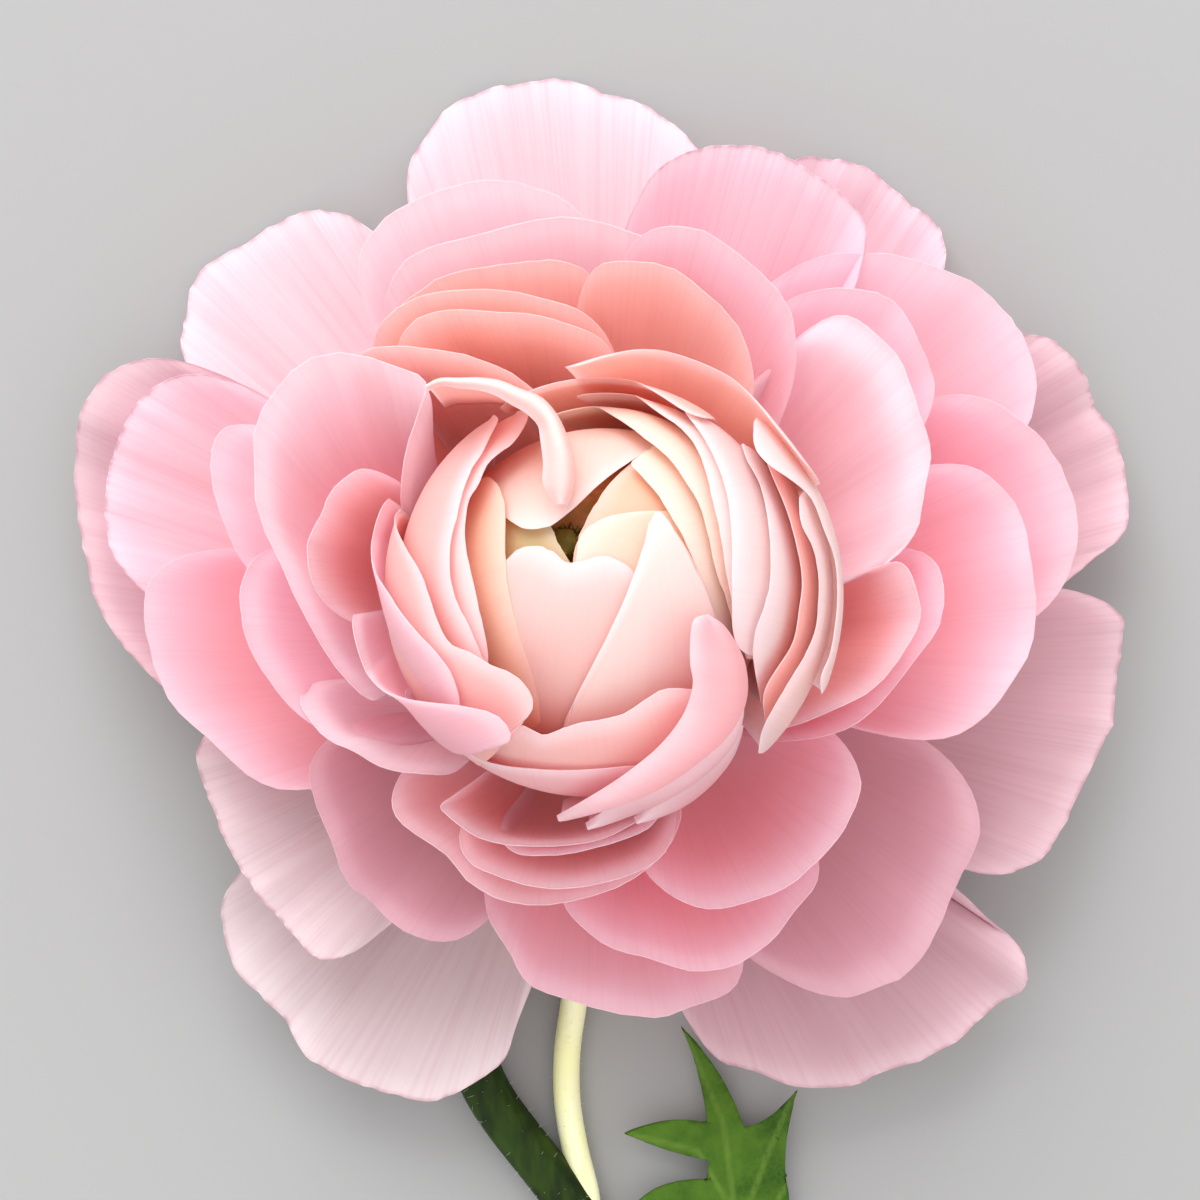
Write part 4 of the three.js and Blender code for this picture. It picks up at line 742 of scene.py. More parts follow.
RIMS = dict(shell_root=21.6, across=56, along=40, seed=3, puff=0.1, lip=0.35, jag=0.004)
LOOSE_RIMS = [
    # left, loose
    dict(edge=[(-13.5, -10.75), (-11.75, -10.25), (-11.5, -9.25), (-12.25, -7), (-13.5, -5.25),
               (-15, -3.75), (-16.5, -2), (-17.75, -0.25), (-19, 1.5), (-19.5, 3.75),
               (-19.25, 6.25), (-19, 8.5)],
         shell=19.6, root=195, fan=60, tuck=0.6, flare=1.2, tone=LILAC),
    # right, loose and pointed
    dict(edge=[(12, 13.75), (12.5, 13.5), (12.75, 11.75), (14, 10.25), (16, 9),
               (17.75, 7.5), (18.75, 5), (19.75, 2.5), (20, -0.5), (19.75, -3.5),
               (19.25, -5.75), (18.25, -7.25), (17.5, -8.5)],
         shell=20.9, root=8, fan=60, tuck=0.6, tone=PALE),
    # right, second loose rim
    dict(edge=[(15.5, 7.75), (16.25, 7.25), (16.75, 5.25), (17.75, 3.5), (18.25, 1.25),
               (18.25, -1), (18, -3.5), (17, -5.75), (15.75, -7.75), (14.5, -9.75),
               (13.25, -11.5), (12.25, -13)],
         shell=20.2, root=-12, fan=60, tone=PALE),
    # top right, loose
    dict(edge=[(-3.25, 17.25), (-1.5, 18.5), (0.75, 19.5), (3.75, 20.25), (7.5, 20),
               (10.5, 18.5), (12.75, 16.25), (15, 13.25), (17, 10.5), (18.25, 8.5)],
         shell=21.2, root=58, fan=60, tuck=0.5, flare=2.4, tone=PEACH),
    # lower left, loose
    dict(edge=[(-20, -9.75), (-18.5, -10), (-16.75, -11), (-14.25, -11.5), (-12.25, -11.75),
               (-10.75, -12.25), (-9, -12.75), (-7.75, -12.75), (-7.25, -12), (-8.25, -10.5),
               (-10.75, -9.75), (-13.5, -9.5), (-16, -9.25), (-18, -8.75), (-19.75, -7.5),
               (-21.5, -6), (-22.5, -4), (-22.75, -2.5)],
         shell=20.4, root=-158, fan=36, tuck=1.4, flare=1.0, tone=LILAC),
]


def wrapped_petal(t, v, whorl, rng, edge, shell, root, fan=60, tuck=0.0, flare=0.0, corner=0.14):
    """A petal on a round shell about the bud's centre, t across it and v along it.

    Edge is the free edge seen from above, and shell the shell's radius. Root is the way that the
    petal's root faces and fan how wide it is, both in degrees. Each line from root to edge is an arc
    of a great circle. Tuck sinks the first corner and lifts the last one, flare draws its body in so
    that its upper part opens outward, and corner shortens its two sides. In all petals of a whorl,
    puff raises the middle and lip the free edge.
    """
    shells = (shell + tuck * (2 * t - 1))[:, None]
    ends = catmull_rom(edge, t)
    reach = np.linalg.norm(ends, axis=1, keepdims=True)
    ends *= np.minimum(1, 0.999 * shells / np.maximum(reach, 1e-6))
    lifts = np.sqrt(shells**2 - (ends**2).sum(axis=1, keepdims=True))
    ends = np.hstack([ends, lifts]) / shells
    around = math.radians(root) - (t - 0.5) * math.radians(fan)
    starts = np.column_stack([math.sin(ROOT_POLAR) * np.cos(around), math.sin(ROOT_POLAR) * np.sin(around),
                              np.full_like(t, math.cos(ROOT_POLAR))])
    angle = np.arccos((starts * ends).sum(axis=1))[:, None]
    held = 1 - corner * np.abs(2 * t - 1) ** 7
    torn = 1 - whorl["jag"] * (0.5 + 0.5 * ripple(t, rng, (5, 9, 15, 22)))
    s = (v[:, None] * held * torn)[..., None]
    way = (np.sin((1 - s) * angle) * starts + np.sin(s * angle) * ends) / np.sin(angle)
    radius = shells - flare * (1 - smooth(s, 0.55, 1.0))
    radius = radius + (whorl["shell_root"] - radius) * (1 - s) ** 4
    swell = np.sin(math.pi * t)[:, None] * smooth(s, 0.45, 0.85)
    rise = whorl["lip"] * smooth(v, 0.85, 1.0)[:, None, None] ** 2
    return BUD_CENTRE + way * (radius + whorl["puff"] * swell + rise)


def strip_petal(t, v, whorl, rng, edge, foot, base):
    """A narrow petal, t along it and v from its base up over its foot line to its edge line.

    The curve across it is the Catmull-Rom curve through base line, foot line and edge line. The base
    line lies below the foot line, at heights given for its two ends and its middle. Arch raises the
    middle of the last stretch.
    """
    foot_line = catmull_rom(foot, t)
    base_line = foot_line * (0.94, 0.94, 0.0)
    base_line[:, 2] = np.minimum(parabola(base, t), foot_line[:, 2] - 0.5)
    lines = np.stack([base_line, foot_line, catmull_rom(edge, t)])
    points = catmull_rom(lines.reshape(3, -1), v).reshape(len(v), len(t), 3)
    last = np.clip(2 * v - 1, 0, 1)[:, None]
    points[..., 2] += whorl["arch"] * 4 * last * (1 - last)
    points[..., 2] += whorl["wave"] * ripple(t, rng, (2.2, 4.5)) * last
    return BUD_CENTRE + points


rim_skin = petal_material("loose_rim_skin", 0.55, 0.03, Streaks=0.06, Rim_Width=5.0, Edge_Line=0.0,
                          Back_Pale=0.4, Inside=0.15, Rim_Glow=0.6, Flush=0.25)
add_petals("loose_rims", LOOSE_RIMS, wrapped_petal, RIMS, rim_skin, "cup_petals")

TIPS = dict(across=64, along=40, seed=7, arch=0.7, wave=0.2, foot=0.6)
FRONT_TIPS = [
    # the lowest and shortest
    dict(edge=[(11.75, -11.5, 8.25), (10.25, -13.5, 8.25), (8.5, -15.25, 8), (5.75, -17.25, 7),
               (3, -20, 1)],
         foot=[(12.25, -11.75, 7), (11.5, -14.5, 3.5), (9.5, -17.25, 1), (6.75, -19.25, 1),
               (3.25, -20.5, 1)],
         base=(-9, -9, -9), rim=0.8, tone=FOLDED),
    # the middle one
    dict(edge=[(11.5, -9.75, 11), (10.5, -11.5, 10.75), (8.75, -13.25, 11),
               (6.75, -15, 10.5), (4, -16.75, 9.5), (1.25, -18.5, 7), (-1.25, -20.5, 1)],
         foot=[(12.25, -9.75, 10), (11.75, -12.5, 8), (10.25, -14.75, 7), (8, -16.75, 6),
               (5.25, -18.5, 4.25), (2, -20, 1), (-1, -21, 1)],
         base=(-9, -9, -9), rim=0.8, tone=FOLDED),
    # the longest, over the front band
    dict(edge=[(8.5, -2.25, 18.25), (7.75, -2.75, 18.25), (7.5, -4.25, 18), (7.5, -6.25, 17.5),
               (7.75, -8, 16.5), (7.25, -10, 15.5), (6.25, -11.75, 14.75), (4.75, -13.5, 14),
               (3, -15, 13), (1, -16.5, 11.5), (-1.25, -18, 9), (-3.75, -19.75, 2.75)],
         foot=[(9, -2.25, 18), (10.25, -3.25, 17), (11.25, -4.75, 15.75), (12, -6.5, 14.5),
               (12.25, -8.75, 13), (11.75, -10.75, 12), (10.5, -12.75, 11),
               (8.5, -14.5, 10.75), (6.25, -16.25, 9.75), (3.5, -17.75, 8.75), (0.25, -19, 6.75),
               (-3.5, -20.25, 1)],
         base=(-9, -9, -9), rim=0.7, tone=SHELL_PINK),
]
add_petals("front_tips", FRONT_TIPS, strip_petal, TIPS, rim_skin, "cup_petals")

# -----------------------------------------------------------------------------
# Bud petals
# The petals that still wrap the heart as a ball: peach pink, with narrow pale rims that show as
# strips one behind the other, and one more whose tip folds over the heart from behind.
# -----------------------------------------------------------------------------
APRICOT = (srgb(255, 220, 204), srgb(255, 236, 230))
GLOW = (srgb(255, 212, 204), srgb(255, 214, 208))

BUD = dict(shell_root=18.0, across=56, along=40, seed=4, puff=0.25, lip=0.3, jag=0.004)
BUD_PETALS = [
    # The three right strips have widened pale rims (rim 2.2): painted light on the steep, shaded side of
    # the ball.
    # right, third strip
    dict(edge=[(-3.75, 17), (-2, 17.75), (0.5, 17.5), (2.75, 16.5), (4.75, 14.75),
               (6.75, 13.25), (8, 11.5), (8.75, 9.25), (9.25, 7), (9.75, 4.75), (10, 2.25),
               (10, -1), (9.5, -5.25)],
         shell=16.7, root=18, rim=2.2, tone=APRICOT),
    # left, first strip
    dict(edge=[(-9.25, -8.75), (-9, -5.75), (-9.5, -3.25), (-10, -1), (-10.5, 1.25),
               (-11, 3.5), (-11, 5.5), (-10.75, 7.25), (-10, 8.5), (-9.25, 10.25),
               (-8.25, 11.25), (-7.25, 12), (-6.25, 13.5), (-6, 14.75), (-6.75, 15.25)],
         shell=16.8, root=180, fan=70, corner=0.03, tone=BLUSH),
    # right, fourth strip, pointed
    dict(edge=[(5.5, 16), (6.75, 16.5), (7, 15), (8, 13.5), (9, 11.75), (10, 9.25),
               (10.5, 7), (10.75, 4), (10.75, 1), (10.75, -1.75), (11, -4.5),
               (12.25, -5.5), (13, -4.5)],
         shell=17.3, root=10, fan=70, rim=2.2, tone=PALE),
    # left, second strip
    dict(edge=[(-8.5, -8.5), (-9.5, -5.75), (-10.75, -3), (-11.75, -1), (-12.25, 1),
               (-12.25, 3.5), (-11.75, 5.75), (-11.25, 8), (-10.5, 10), (-9.75, 11.25),
               (-9, 13), (-8.5, 14.25), (-9, 15)],
         shell=17.5, root=183, fan=70, corner=0.03, tone=BLUSH),
    # right, fifth strip, pointed
    dict(edge=[(11, 11.75), (11.75, 12), (12.25, 10.75), (13.25, 8.75), (13.75, 6.5),
               (14, 3.75), (14, 0.75), (13.5, -1.5), (12.75, -3.5), (12.25, -5.75),
               (12.25, -8.75)],
         shell=17.9, root=0, fan=70, rim=2.2, tone=PALE),
    # right, coral in the gap behind it
    dict(edge=[(12.25, 12.75), (13.5, 11.25), (14.5, 9), (15.5, 6.5), (16.25, 3.75),
               (16.75, 0.75), (16.5, -1.75), (16, -4.5), (14.75, -6.5), (13.25, -8.5),
               (12.5, -10.5)],
         shell=19.0, root=0, fan=60, rim=0.1, tone=GLOW),
    # top rim
    dict(edge=[(-10.5, 17.75), (-8.25, 18.5), (-6.25, 18.75), (-3.5, 18.75), (-0.75, 18.5),
               (2, 18), (4.25, 16.75), (6.25, 15.25), (7.75, 13.5)],
         shell=17.9, root=75, tone=APRICOT),
    # front band
    dict(edge=[(9.5, -7), (8, -7.75), (6, -8), (4.5, -8.5), (1.75, -10.25), (-1.75, -11),
               (-3.25, -11.5), (-4.75, -12), (-6.5, -11.25), (-8.5, -12), (-9.5, -13.5),
               (-10, -14.5)],
         shell=17.6, root=-85, fan=50, tone=BLUSH),
    # left, third strip, with a rounded end
    dict(edge=[(-7.5, -11), (-6, -10.5), (-5.25, -9.5), (-5.75, -8.25), (-7, -7),
               (-8.75, -6.25), (-10.5, -5.25), (-12.25, -4.5), (-13.25, -2.75), (-14, -0.75),
               (-14.75, 1.25), (-16, 3.25), (-17, 5.25), (-17.5, 7.25)],
         shell=18.7, root=200, fan=70, tone=BLUSH),
    # front band, second
    dict(edge=[(7.5, -11), (5.75, -13.25), (3.75, -14.5), (1.75, -14.75), (-1.75, -15),
               (-4.75, -15), (-8, -14.75), (-10.25, -14.25), (-12, -13.25), (-14.75, -12.75),
               (-17, -12.25), (-18, -12.75)],
         shell=18.2, root=-98, fan=56, tuck=0.6, tone=SHELL_PINK),
]

bud_skin = petal_material("bud_petal_skin", 0.5, 0.03, Streaks=0.05, Rim_Width=4.0, Edge_Line=0.0,
                          Back_Pale=0.45, Inside=0.5, Rim_Glow=0.6, Flush=0.3)
add_petals("bud_whorl", BUD_PETALS, wrapped_petal, BUD, bud_skin, "bud_petals")

BACK_TIP = [
    # the tip that folds from behind over the heart
    dict(edge=[(-14.75, 16.75, 9.75), (-13.5, 17.25, 9.75), (-12, 17, 10.75),
               (-10.25, 16.75, 11.75), (-8.75, 16.25, 12.5), (-7.5, 15.5, 13),
               (-6.25, 14.75, 13.5), (-5.25, 13.75, 13.75), (-5, 12.5, 14),
               (-4.75, 10.5, 14.5), (-4.75, 8.75, 14.5), (-3.75, 7, 14.5)],
         foot=[(-14.75, 17.25, 9), (-13.5, 17.75, 8.75), (-12, 17.75, 9.5),
               (-10.25, 17.75, 10.25), (-8.5, 17.5, 11), (-6.75, 16.75, 12),
               (-5, 16, 12.5), (-3.75, 14.5, 13.5), (-3, 12.75, 14.25), (-2.5, 11, 14.75),
               (-2.5, 9, 15), (-3, 7, 14.75)],
         base=(-8, -3, 12), rim=0.35, tone=PALE),
]
add_petals("back_tip", BACK_TIP, strip_petal, TIPS, bud_skin, "bud_petals")

# -----------------------------------------------------------------------------
# Heart petals
# The closed middle: cream and peach petals folded over one another round a slit, with an olive one
# and a peach one standing inside it.
# -----------------------------------------------------------------------------
CREAM = (srgb(254, 222, 190), srgb(255, 238, 222))
AMBER = (srgb(253, 206, 167), srgb(255, 218, 190))
OLIVE = (srgb(220, 200, 128), srgb(230, 212, 152))

HEART = dict(shell_root=12.0, across=56, along=40, seed=5, puff=0.4, lip=0.2, jag=0.006)
HEART_PETALS = [
    # olive, left of the slit
    dict(edge=[(0, -1), (-1.75, 1.25), (-3.25, 3.5), (-4, 5), (-6, 6.5), (-8.5, 7.75)],
         shell=13.0, root=150, fan=90, tone=OLIVE),
    # peach, right of the slit
    dict(edge=[(9.75, 13), (6, 12), (3.5, 11), (2.5, 10.25), (0.75, 8.5), (-0.5, 6.75),
               (-1.5, 5), (-2.75, 2.75), (-3.25, -1)],
         shell=13.5, root=-10, fan=90, tone=AMBER),
    # back of the slit
    dict(edge=[(-10.5, 8.25), (-9, 6.75), (-7.75, 5.75), (-6, 4.75), (-4, 5), (-2, 6.5),
               (0, 8.5), (2.25, 10.25), (4.25, 11.5), (7, 13)],
         shell=14.0, root=88, tone=APRICOT),
    # right lip of the slit
    dict(edge=[(8.5, 4), (5.75, 6), (3.75, 6.25), (0.5, 5.75), (-1.5, 4.5), (-2.25, 2.25),
               (-3.25, -2.75)],
         shell=13.9, root=-30, tone=CREAM),
    # left strip
    dict(edge=[(-3.5, -9.5), (-6, -5.25), (-7.5, 0.75), (-7.75, 7), (-9.25, 9.25), (-10.5, 7.5),
               (-11.25, 2.5)],
         shell=14.6, root=200, tone=AMBER),
    # front
    dict(edge=[(4, -4.25), (3.25, -0.25), (2.25, 2), (0.25, 2.75), (-1.5, 2.25), (-2.75, 2.25),
               (-3.75, 3), (-5, 3.5), (-6.5, 3.25), (-7.25, 2.25), (-7.5, -1), (-7.5, -5.25),
               (-7.25, -9.5)],
         shell=14.5, root=-95, tone=BLUSH),
    # front right
    dict(edge=[(10.5, -9.75), (9.75, -5.25), (8.75, -1.5), (7.5, 1.75), (6, 4.75), (4.75, 6.25),
               (4, 5.5), (3.5, 3.5), (2.5, 0.5), (1, -3), (-0.75, -6.5), (-2, -9),
               (-2.25, -10.5), (-1.25, -11.75)],
         shell=15.1, root=-105, fan=20, rim=0.5, tone=PALE),
    # The two right strips have widened pale rims (rim 1.6): painted light on the steep, shaded side of the
    # ball.
    # right, first strip
    dict(edge=[(9.75, 12), (5.75, 11.25), (3.75, 11), (2.5, 10.25), (3.25, 9.25), (4.5, 7.75),
               (5.75, 5.75), (7, 3.5), (8, 0.75), (8.75, -1.75), (9.25, -4.5), (9.5, -7.75)],
         shell=14.5, root=15, fan=80, rim=1.6, tone=CREAM),
    # right, second strip
    dict(edge=[(-7.75, 17.25), (-4.5, 17.5), (-1.75, 16.5), (0.25, 15), (2.25, 13.5),
               (3.75, 12.25), (5.5, 10.75), (6.75, 9), (8, 7), (8.75, 4.5), (9.25, 1.75),
               (9.75, -1.25), (9.5, -4.75)],
         shell=15.5, root=25, fan=60, rim=1.6, tone=CREAM),
]

heart_skin = petal_material("heart_petal_skin", 0.4, 0.03, Streaks=0.05, Rim_Width=4.0, Edge_Line=0.0,
                            Back_Pale=0.4, Inside=0.5, Flush=0.35)
add_petals("heart_whorl", HEART_PETALS, wrapped_petal, HEART, heart_skin, "heart_petals")

# -----------------------------------------------------------------------------
# Carpels
# The green middle of the flower: many small pistils, each a short spike, packed on a cone. Only a
# glimpse of them shows down in the slit.
# -----------------------------------------------------------------------------
CARPEL_BASE = BUD_CENTRE + (-1.8, 2.2, 5.0)
CARPEL_TIP = BUD_CENTRE + (-3.2, 4.0, 10.6)
CARPEL_COUNT = 60
CONE_RINGS = 13
CONE_SIDES = 24
CONE_FOOT = 2.6
CONE_TAPER = 1.5
GOLDEN_TURN = math.radians(137.5)


def cone_radius(share):
    """The radius of the cone at a share of the way from its foot to its tip."""
    return CONE_FOOT - CONE_TAPER * share[:, None] ** 1.5


carpel_way = unit(CARPEL_TIP - CARPEL_BASE)
carpel_side = unit(np.cross(carpel_way, AXIS_SIDE))
carpel_other = np.cross(carpel_way, carpel_side)
cone_steps = np.linspace(0, 1, CONE_RINGS)
cone_line = CARPEL_BASE + cone_steps[:, None] * (CARPEL_TIP - CARPEL_BASE)
cone = swept(cone_line, cone_radius(cone_steps), CONE_SIDES)
# The carpels are a dark olive: painted shade of the deep slit they sit in, over their own green.
shaded_carpel_olive = green_material("carpel_skin", srgb(92, 84, 28), srgb(140, 124, 54), (900, 900, 900), 0.5,
                              0.05)
order = np.arange(CARPEL_COUNT)
up_cone = order / CARPEL_COUNT
turns = order * GOLDEN_TURN
spokes = np.cos(turns)[:, None] * carpel_side + np.sin(turns)[:, None] * carpel_other
pistil_roots = (CARPEL_BASE + up_cone[:, None] * (CARPEL_TIP - CARPEL_BASE)
                + spokes * cone_radius(up_cone))
rng = np.random.default_rng(12)
pistils, pistil_faces = hairs(rng, pistil_roots, spokes + 1.6 * carpel_way, 0.9, 0.8)
cone_faces = ring_faces(len(cone), CONE_SIDES)
carpel_points = np.concatenate([cone.reshape(-1, 3), pistils])
carpel_faces = cone_faces + (np.array(pistil_faces) + cone.size // 3).tolist()
add_piece("carpel_cone", carpel_points, carpel_faces, shaded_carpel_olive, ["carpels"], "carpels")

# -----------------------------------------------------------------------------
# Petal bases
# The lower half of the heart: the tightly packed bases of the inner petals. They show only as the
# olive depth of the slit and between the whorls.
# -----------------------------------------------------------------------------
CORE_RADIUS = 11.0
SLIT_WAY = unit(np.array([-0.24, 0.28, 0.93]))
SLIT_DEPTH = 3.6
SLIT_SPREAD = 0.05
CORE_RINGS = 40
CORE_SIDES = 64

core_round = round_angles(CORE_SIDES)
core_polar = np.linspace(0.02, math.pi - 0.02, CORE_RINGS)
core_ways = np.stack([np.outer(np.sin(core_polar), np.cos(core_round)),
                      np.outer(np.sin(core_polar), np.sin(core_round)),
                      np.repeat(np.cos(core_polar)[:, None], CORE_SIDES, axis=1)], axis=-1)
slit_share = np.exp(-((1 - core_ways @ SLIT_WAY) / SLIT_SPREAD) ** 2)
core_points = BUD_CENTRE + core_ways * (CORE_RADIUS - SLIT_DEPTH * slit_share)[..., None]
core_tissue = green_material("inner_petal_bases", srgb(170, 132, 70), srgb(236, 190, 136),
                             (500, 500, 500), 0.6, 0.1)
add_piece("heart_core", core_points, [face[::-1] for face in ring_faces(CORE_RINGS, CORE_SIDES)],
          core_tissue, ["heart_petals"], "heart_petals")

# -----------------------------------------------------------------------------
# Calyx
# Five pale green sepals under the guard petals, bent down from a ring round the receptacle, with thin
# pale margins.
# -----------------------------------------------------------------------------
SEPALS = 5
SEPAL_ROOT_DEPTH = 29.3
SEPAL_ROOT_RADIUS = 4.0
SEPAL_REACH = 12.0
SEPAL_DROP = 6.5
SEPAL_HALF_WIDTH = 3.6
SEPAL_GREEN = (srgb(150, 172, 84), srgb(206, 214, 150))

CALYX = dict(inner=(0, SEPAL_ROOT_DEPTH, SEPAL_ROOT_RADIUS), outer=(1, SEPAL_ROOT_DEPTH, SEPAL_ROOT_RADIUS),
             across=20, along=20, seed=6, fold=0.15, wave=0.1, jag=0.01, lip=0.0, flare=0.0)
sepal_foot = on_axis(SEPAL_ROOT_DEPTH)
sepal_sides = np.array([-1, -0.8, 0, 0.8, 1])
sepals = []
for sepal in range(SEPALS):
    turn = math.pi / 2 + 2 * math.pi * sepal / SEPALS
    way = np.array([math.cos(turn), math.sin(turn)])
    beside = np.array([-math.sin(turn), math.cos(turn)])
    reach = SEPAL_REACH * (1 - 0.45 * sepal_sides**2)
    outline = sepal_foot[:2] + np.outer(reach, way) - np.outer(SEPAL_HALF_WIDTH * sepal_sides, beside)
    tip = sepal_foot[2] - SEPAL_DROP
    sepals.append(dict(edge=outline, rise=(tip + 1, tip, tip + 1), belly=-1.0, cup=0.6, tone=SEPAL_GREEN))

sepal_skin = petal_material("sepal_skin", 0.15, 0.1, Streaks=0.25, Rim_Width=1.4, Edge_Line=0.0,
                            Back_Pale=0.1, Flush=0.4)
add_petals("calyx_whorl", sepals, open_petal, CALYX, sepal_skin, "calyx")

# -----------------------------------------------------------------------------
# Side shoot and its bud
# A pale yellow-green shoot that leaves the stem and ends in a small closed bud under the bloom.
# -----------------------------------------------------------------------------
SHOOT_RADIUS = 1.3
SHOOT_RINGS = 60
SHOOT_SIDES = 32
SHOOT_HAIRS = 220
SHOOT_PATH = [
    (-1, -61, 2.4), (-1.4, -57.5, 2.2), (-2.5, -53, 1.8), (-3.2, -48.5, 1.5), (-3.2, -44, 1.5),
    (-2.6, -39.5, 2), (-2.1, -36, 3),
]
SIDE_BUD_CENTRE = np.array([-1.6, -32.4, 4.9])
SIDE_BUD_RADIUS = 3.4
SIDE_BUD_LENGTH = 8.0
SIDE_BUD_TILT = 0.25
SIDE_BUD_RINGS = 36
SIDE_BUD_SIDES = 60
SIDE_BUD_HAIRS = 300

shoot_line = catmull_rom(SHOOT_PATH, np.linspace(0, 1, SHOOT_RINGS))
shoot_rings = swept(shoot_line, np.full((SHOOT_RINGS, 1), SHOOT_RADIUS), SHOOT_SIDES)
# The shoot's colour is raised to a near-white yellow: painted light, as it lies in the bloom's shade.
shoot_skin_painted_light = green_material("shoot_skin_painted_light", srgb(252, 255, 190), srgb(255, 255, 226), (700, 90, 700), 0.4,
                            0.04)
add_piece("shoot_tube", shoot_rings, ring_faces(SHOOT_RINGS, SHOOT_SIDES), shoot_skin_painted_light, ["side_shoot"],
          "side_shoot")
rng = np.random.default_rng(13)
add_piece("shoot_hairs", *hairs_on_rings(rng, shoot_rings[2:-2], SHOOT_HAIRS, 0.6, 0.045), hair_white,
          [], "side_shoot")

bud_polar = np.linspace(0.06, math.pi - 0.06, SIDE_BUD_RINGS)
bud_round = round_angles(SIDE_BUD_SIDES)
bud_way = np.array([0.0, math.cos(SIDE_BUD_TILT), math.sin(SIDE_BUD_TILT)])
bud_line = SIDE_BUD_CENTRE + np.outer(-np.cos(bud_polar) * SIDE_BUD_LENGTH / 2, bud_way)
bud_creases = 1 - 0.07 * np.abs(np.cos(2.5 * bud_round + 0.8 * np.cos(bud_polar)[:, None])) ** 6
bud_radii = SIDE_BUD_RADIUS * np.sin(bud_polar)[:, None] ** 0.9 * bud_creases
side_bud_rings = swept(bud_line, bud_radii, SIDE_BUD_SIDES)
side_bud_skin = green_material("side_bud_skin", srgb(128, 150, 62), srgb(196, 206, 128), (500, 120, 500),
                               0.5, 0.08)
add_piece("side_bud_ball", side_bud_rings, ring_faces(SIDE_BUD_RINGS, SIDE_BUD_SIDES), side_bud_skin,
          ["side_bud"], "calyx")
add_piece("side_bud_hairs", *hairs_on_rings(rng, side_bud_rings[3:-3], SIDE_BUD_HAIRS, 0.7, 0.05),
          hair_white, [], "calyx")

# -----------------------------------------------------------------------------
# Leaf
# One mid-green cut leaf on the stem: a soft blade with pointed lobes, pale veins pressed into its face
# and a short rounded segment at its side.
# -----------------------------------------------------------------------------
LEAF_THICKNESS = 0.4
LEAF_HEIGHT = 1.25
LEAF_GRID = 0.5
LEAF_MIDDLE_X = 13.0
LEAF_CURVE_STEPS = 14
VEIN_DEPTH = 0.22
VEIN_WIDTH = 0.45
# Start point, then (bend, end) of each quadratic curve round the outline.
LEAF_START = (9.6, -76.5)
LEAF_CURVES = [
    ((10.2, -70), (8.6, -66)), ((6, -62.5), (3.4, -58.8)), ((5, -56.2), (10.4, -56.2)),
    ((10.5, -55.3), (10.6, -54.4)), ((6.5, -53.6), (2.4, -51.7)), ((6.5, -49.8), (10.4, -50.8)),
    ((10.2, -46.5), (7.9, -41.5)), ((12, -45.5), (14, -51.2)), ((16.6, -50.8), (19.1, -47.6)),
    ((17.8, -52), (18, -56)), ((19.6, -63), (14.6, -69)), ((12.4, -72), (11.6, -76.5)),
]
LEAF_VEINS = [
    [(10.6, -76.5), (12, -68), (13.2, -60), (12, -51), (8.2, -42)],
    [(13.2, -60), (9.5, -53.5), (3, -51.8)],
    [(13.2, -62), (16.2, -54), (18.8, -48)],
    [(12.2, -67), (8.5, -60.5), (4, -58.9)],
    [(12.8, -64.5), (16.5, -59.5), (18, -57)],
]


def quadratic_outline(start, curves, steps):
    """The points of a closed outline of quadratic curves: (1-u)^2 start + 2u(1-u) bend + u^2 end."""
    u = np.linspace(0, 1, steps, endpoint=False)[:, None]
    starts = [start] + [end for _, end in curves[:-1]]
    return np.concatenate([(1 - u) ** 2 * np.array(first) + 2 * u * (1 - u) * np.array(bend)
                           + u**2 * np.array(end) for first, (bend, end) in zip(starts, curves)])


def distance_to_line(points, line):
    """The distance of each point from the nearest stretch of a line of points, all seen from above."""
    line = np.array(line, float)
    starts, ways = line[:-1], np.diff(line, axis=0)
    offsets = points[:, None] - starts
    shares = np.clip((offsets * ways).sum(-1) / (ways**2).sum(-1), 0, 1)
    return np.linalg.norm(offsets - shares[..., None] * ways, axis=-1).min(axis=1)


def cut_outline(outline, spacing):
    """A flat mesh inside the outline, cut along a square grid so that it can be bent."""
    sheet = bmesh.new()
    corners = [sheet.verts.new((x, y, 0)) for x, y in outline]
    sheet.faces.new(corners)
    bmesh.ops.triangulate(sheet, faces=sheet.faces[:])
    low, high = outline.min(axis=0), outline.max(axis=0)
    for axis in range(2):
        normal = (1, 0, 0) if axis == 0 else (0, 1, 0)
        for place in np.arange(low[axis] + spacing, high[axis], spacing):
            bmesh.ops.bisect_plane(sheet, geom=sheet.verts[:] + sheet.edges[:] + sheet.faces[:],
                                   plane_co=(place * normal[0], place * normal[1], 0), plane_no=normal)
    sheet.verts.index_update()
    points = np.array([vertex.co[:] for vertex in sheet.verts])
    faces = [[vertex.index for vertex in face.verts] for face in sheet.faces]
    sheet.free()
    return points, faces


leaf_outline = quadratic_outline(LEAF_START, LEAF_CURVES, LEAF_CURVE_STEPS)
leaf_flat, leaf_cells = cut_outline(leaf_outline, LEAF_GRID)
x, y = leaf_flat[:, 0], leaf_flat[:, 1]
from_vein = np.min([distance_to_line(leaf_flat[:, :2], vein) for vein in LEAF_VEINS], axis=0)
leaf_wave = (0.8 + 0.014 * (x - LEAF_MIDDLE_X) ** 2
             + 0.5 * np.sin(0.32 * (y + 60)) * np.cos(0.25 * (x - LEAF_MIDDLE_X)))
leaf_top = leaf_flat.copy()
leaf_top[:, 2] = LEAF_HEIGHT + leaf_wave - VEIN_DEPTH * np.exp(-((from_vein / VEIN_WIDTH) ** 2))

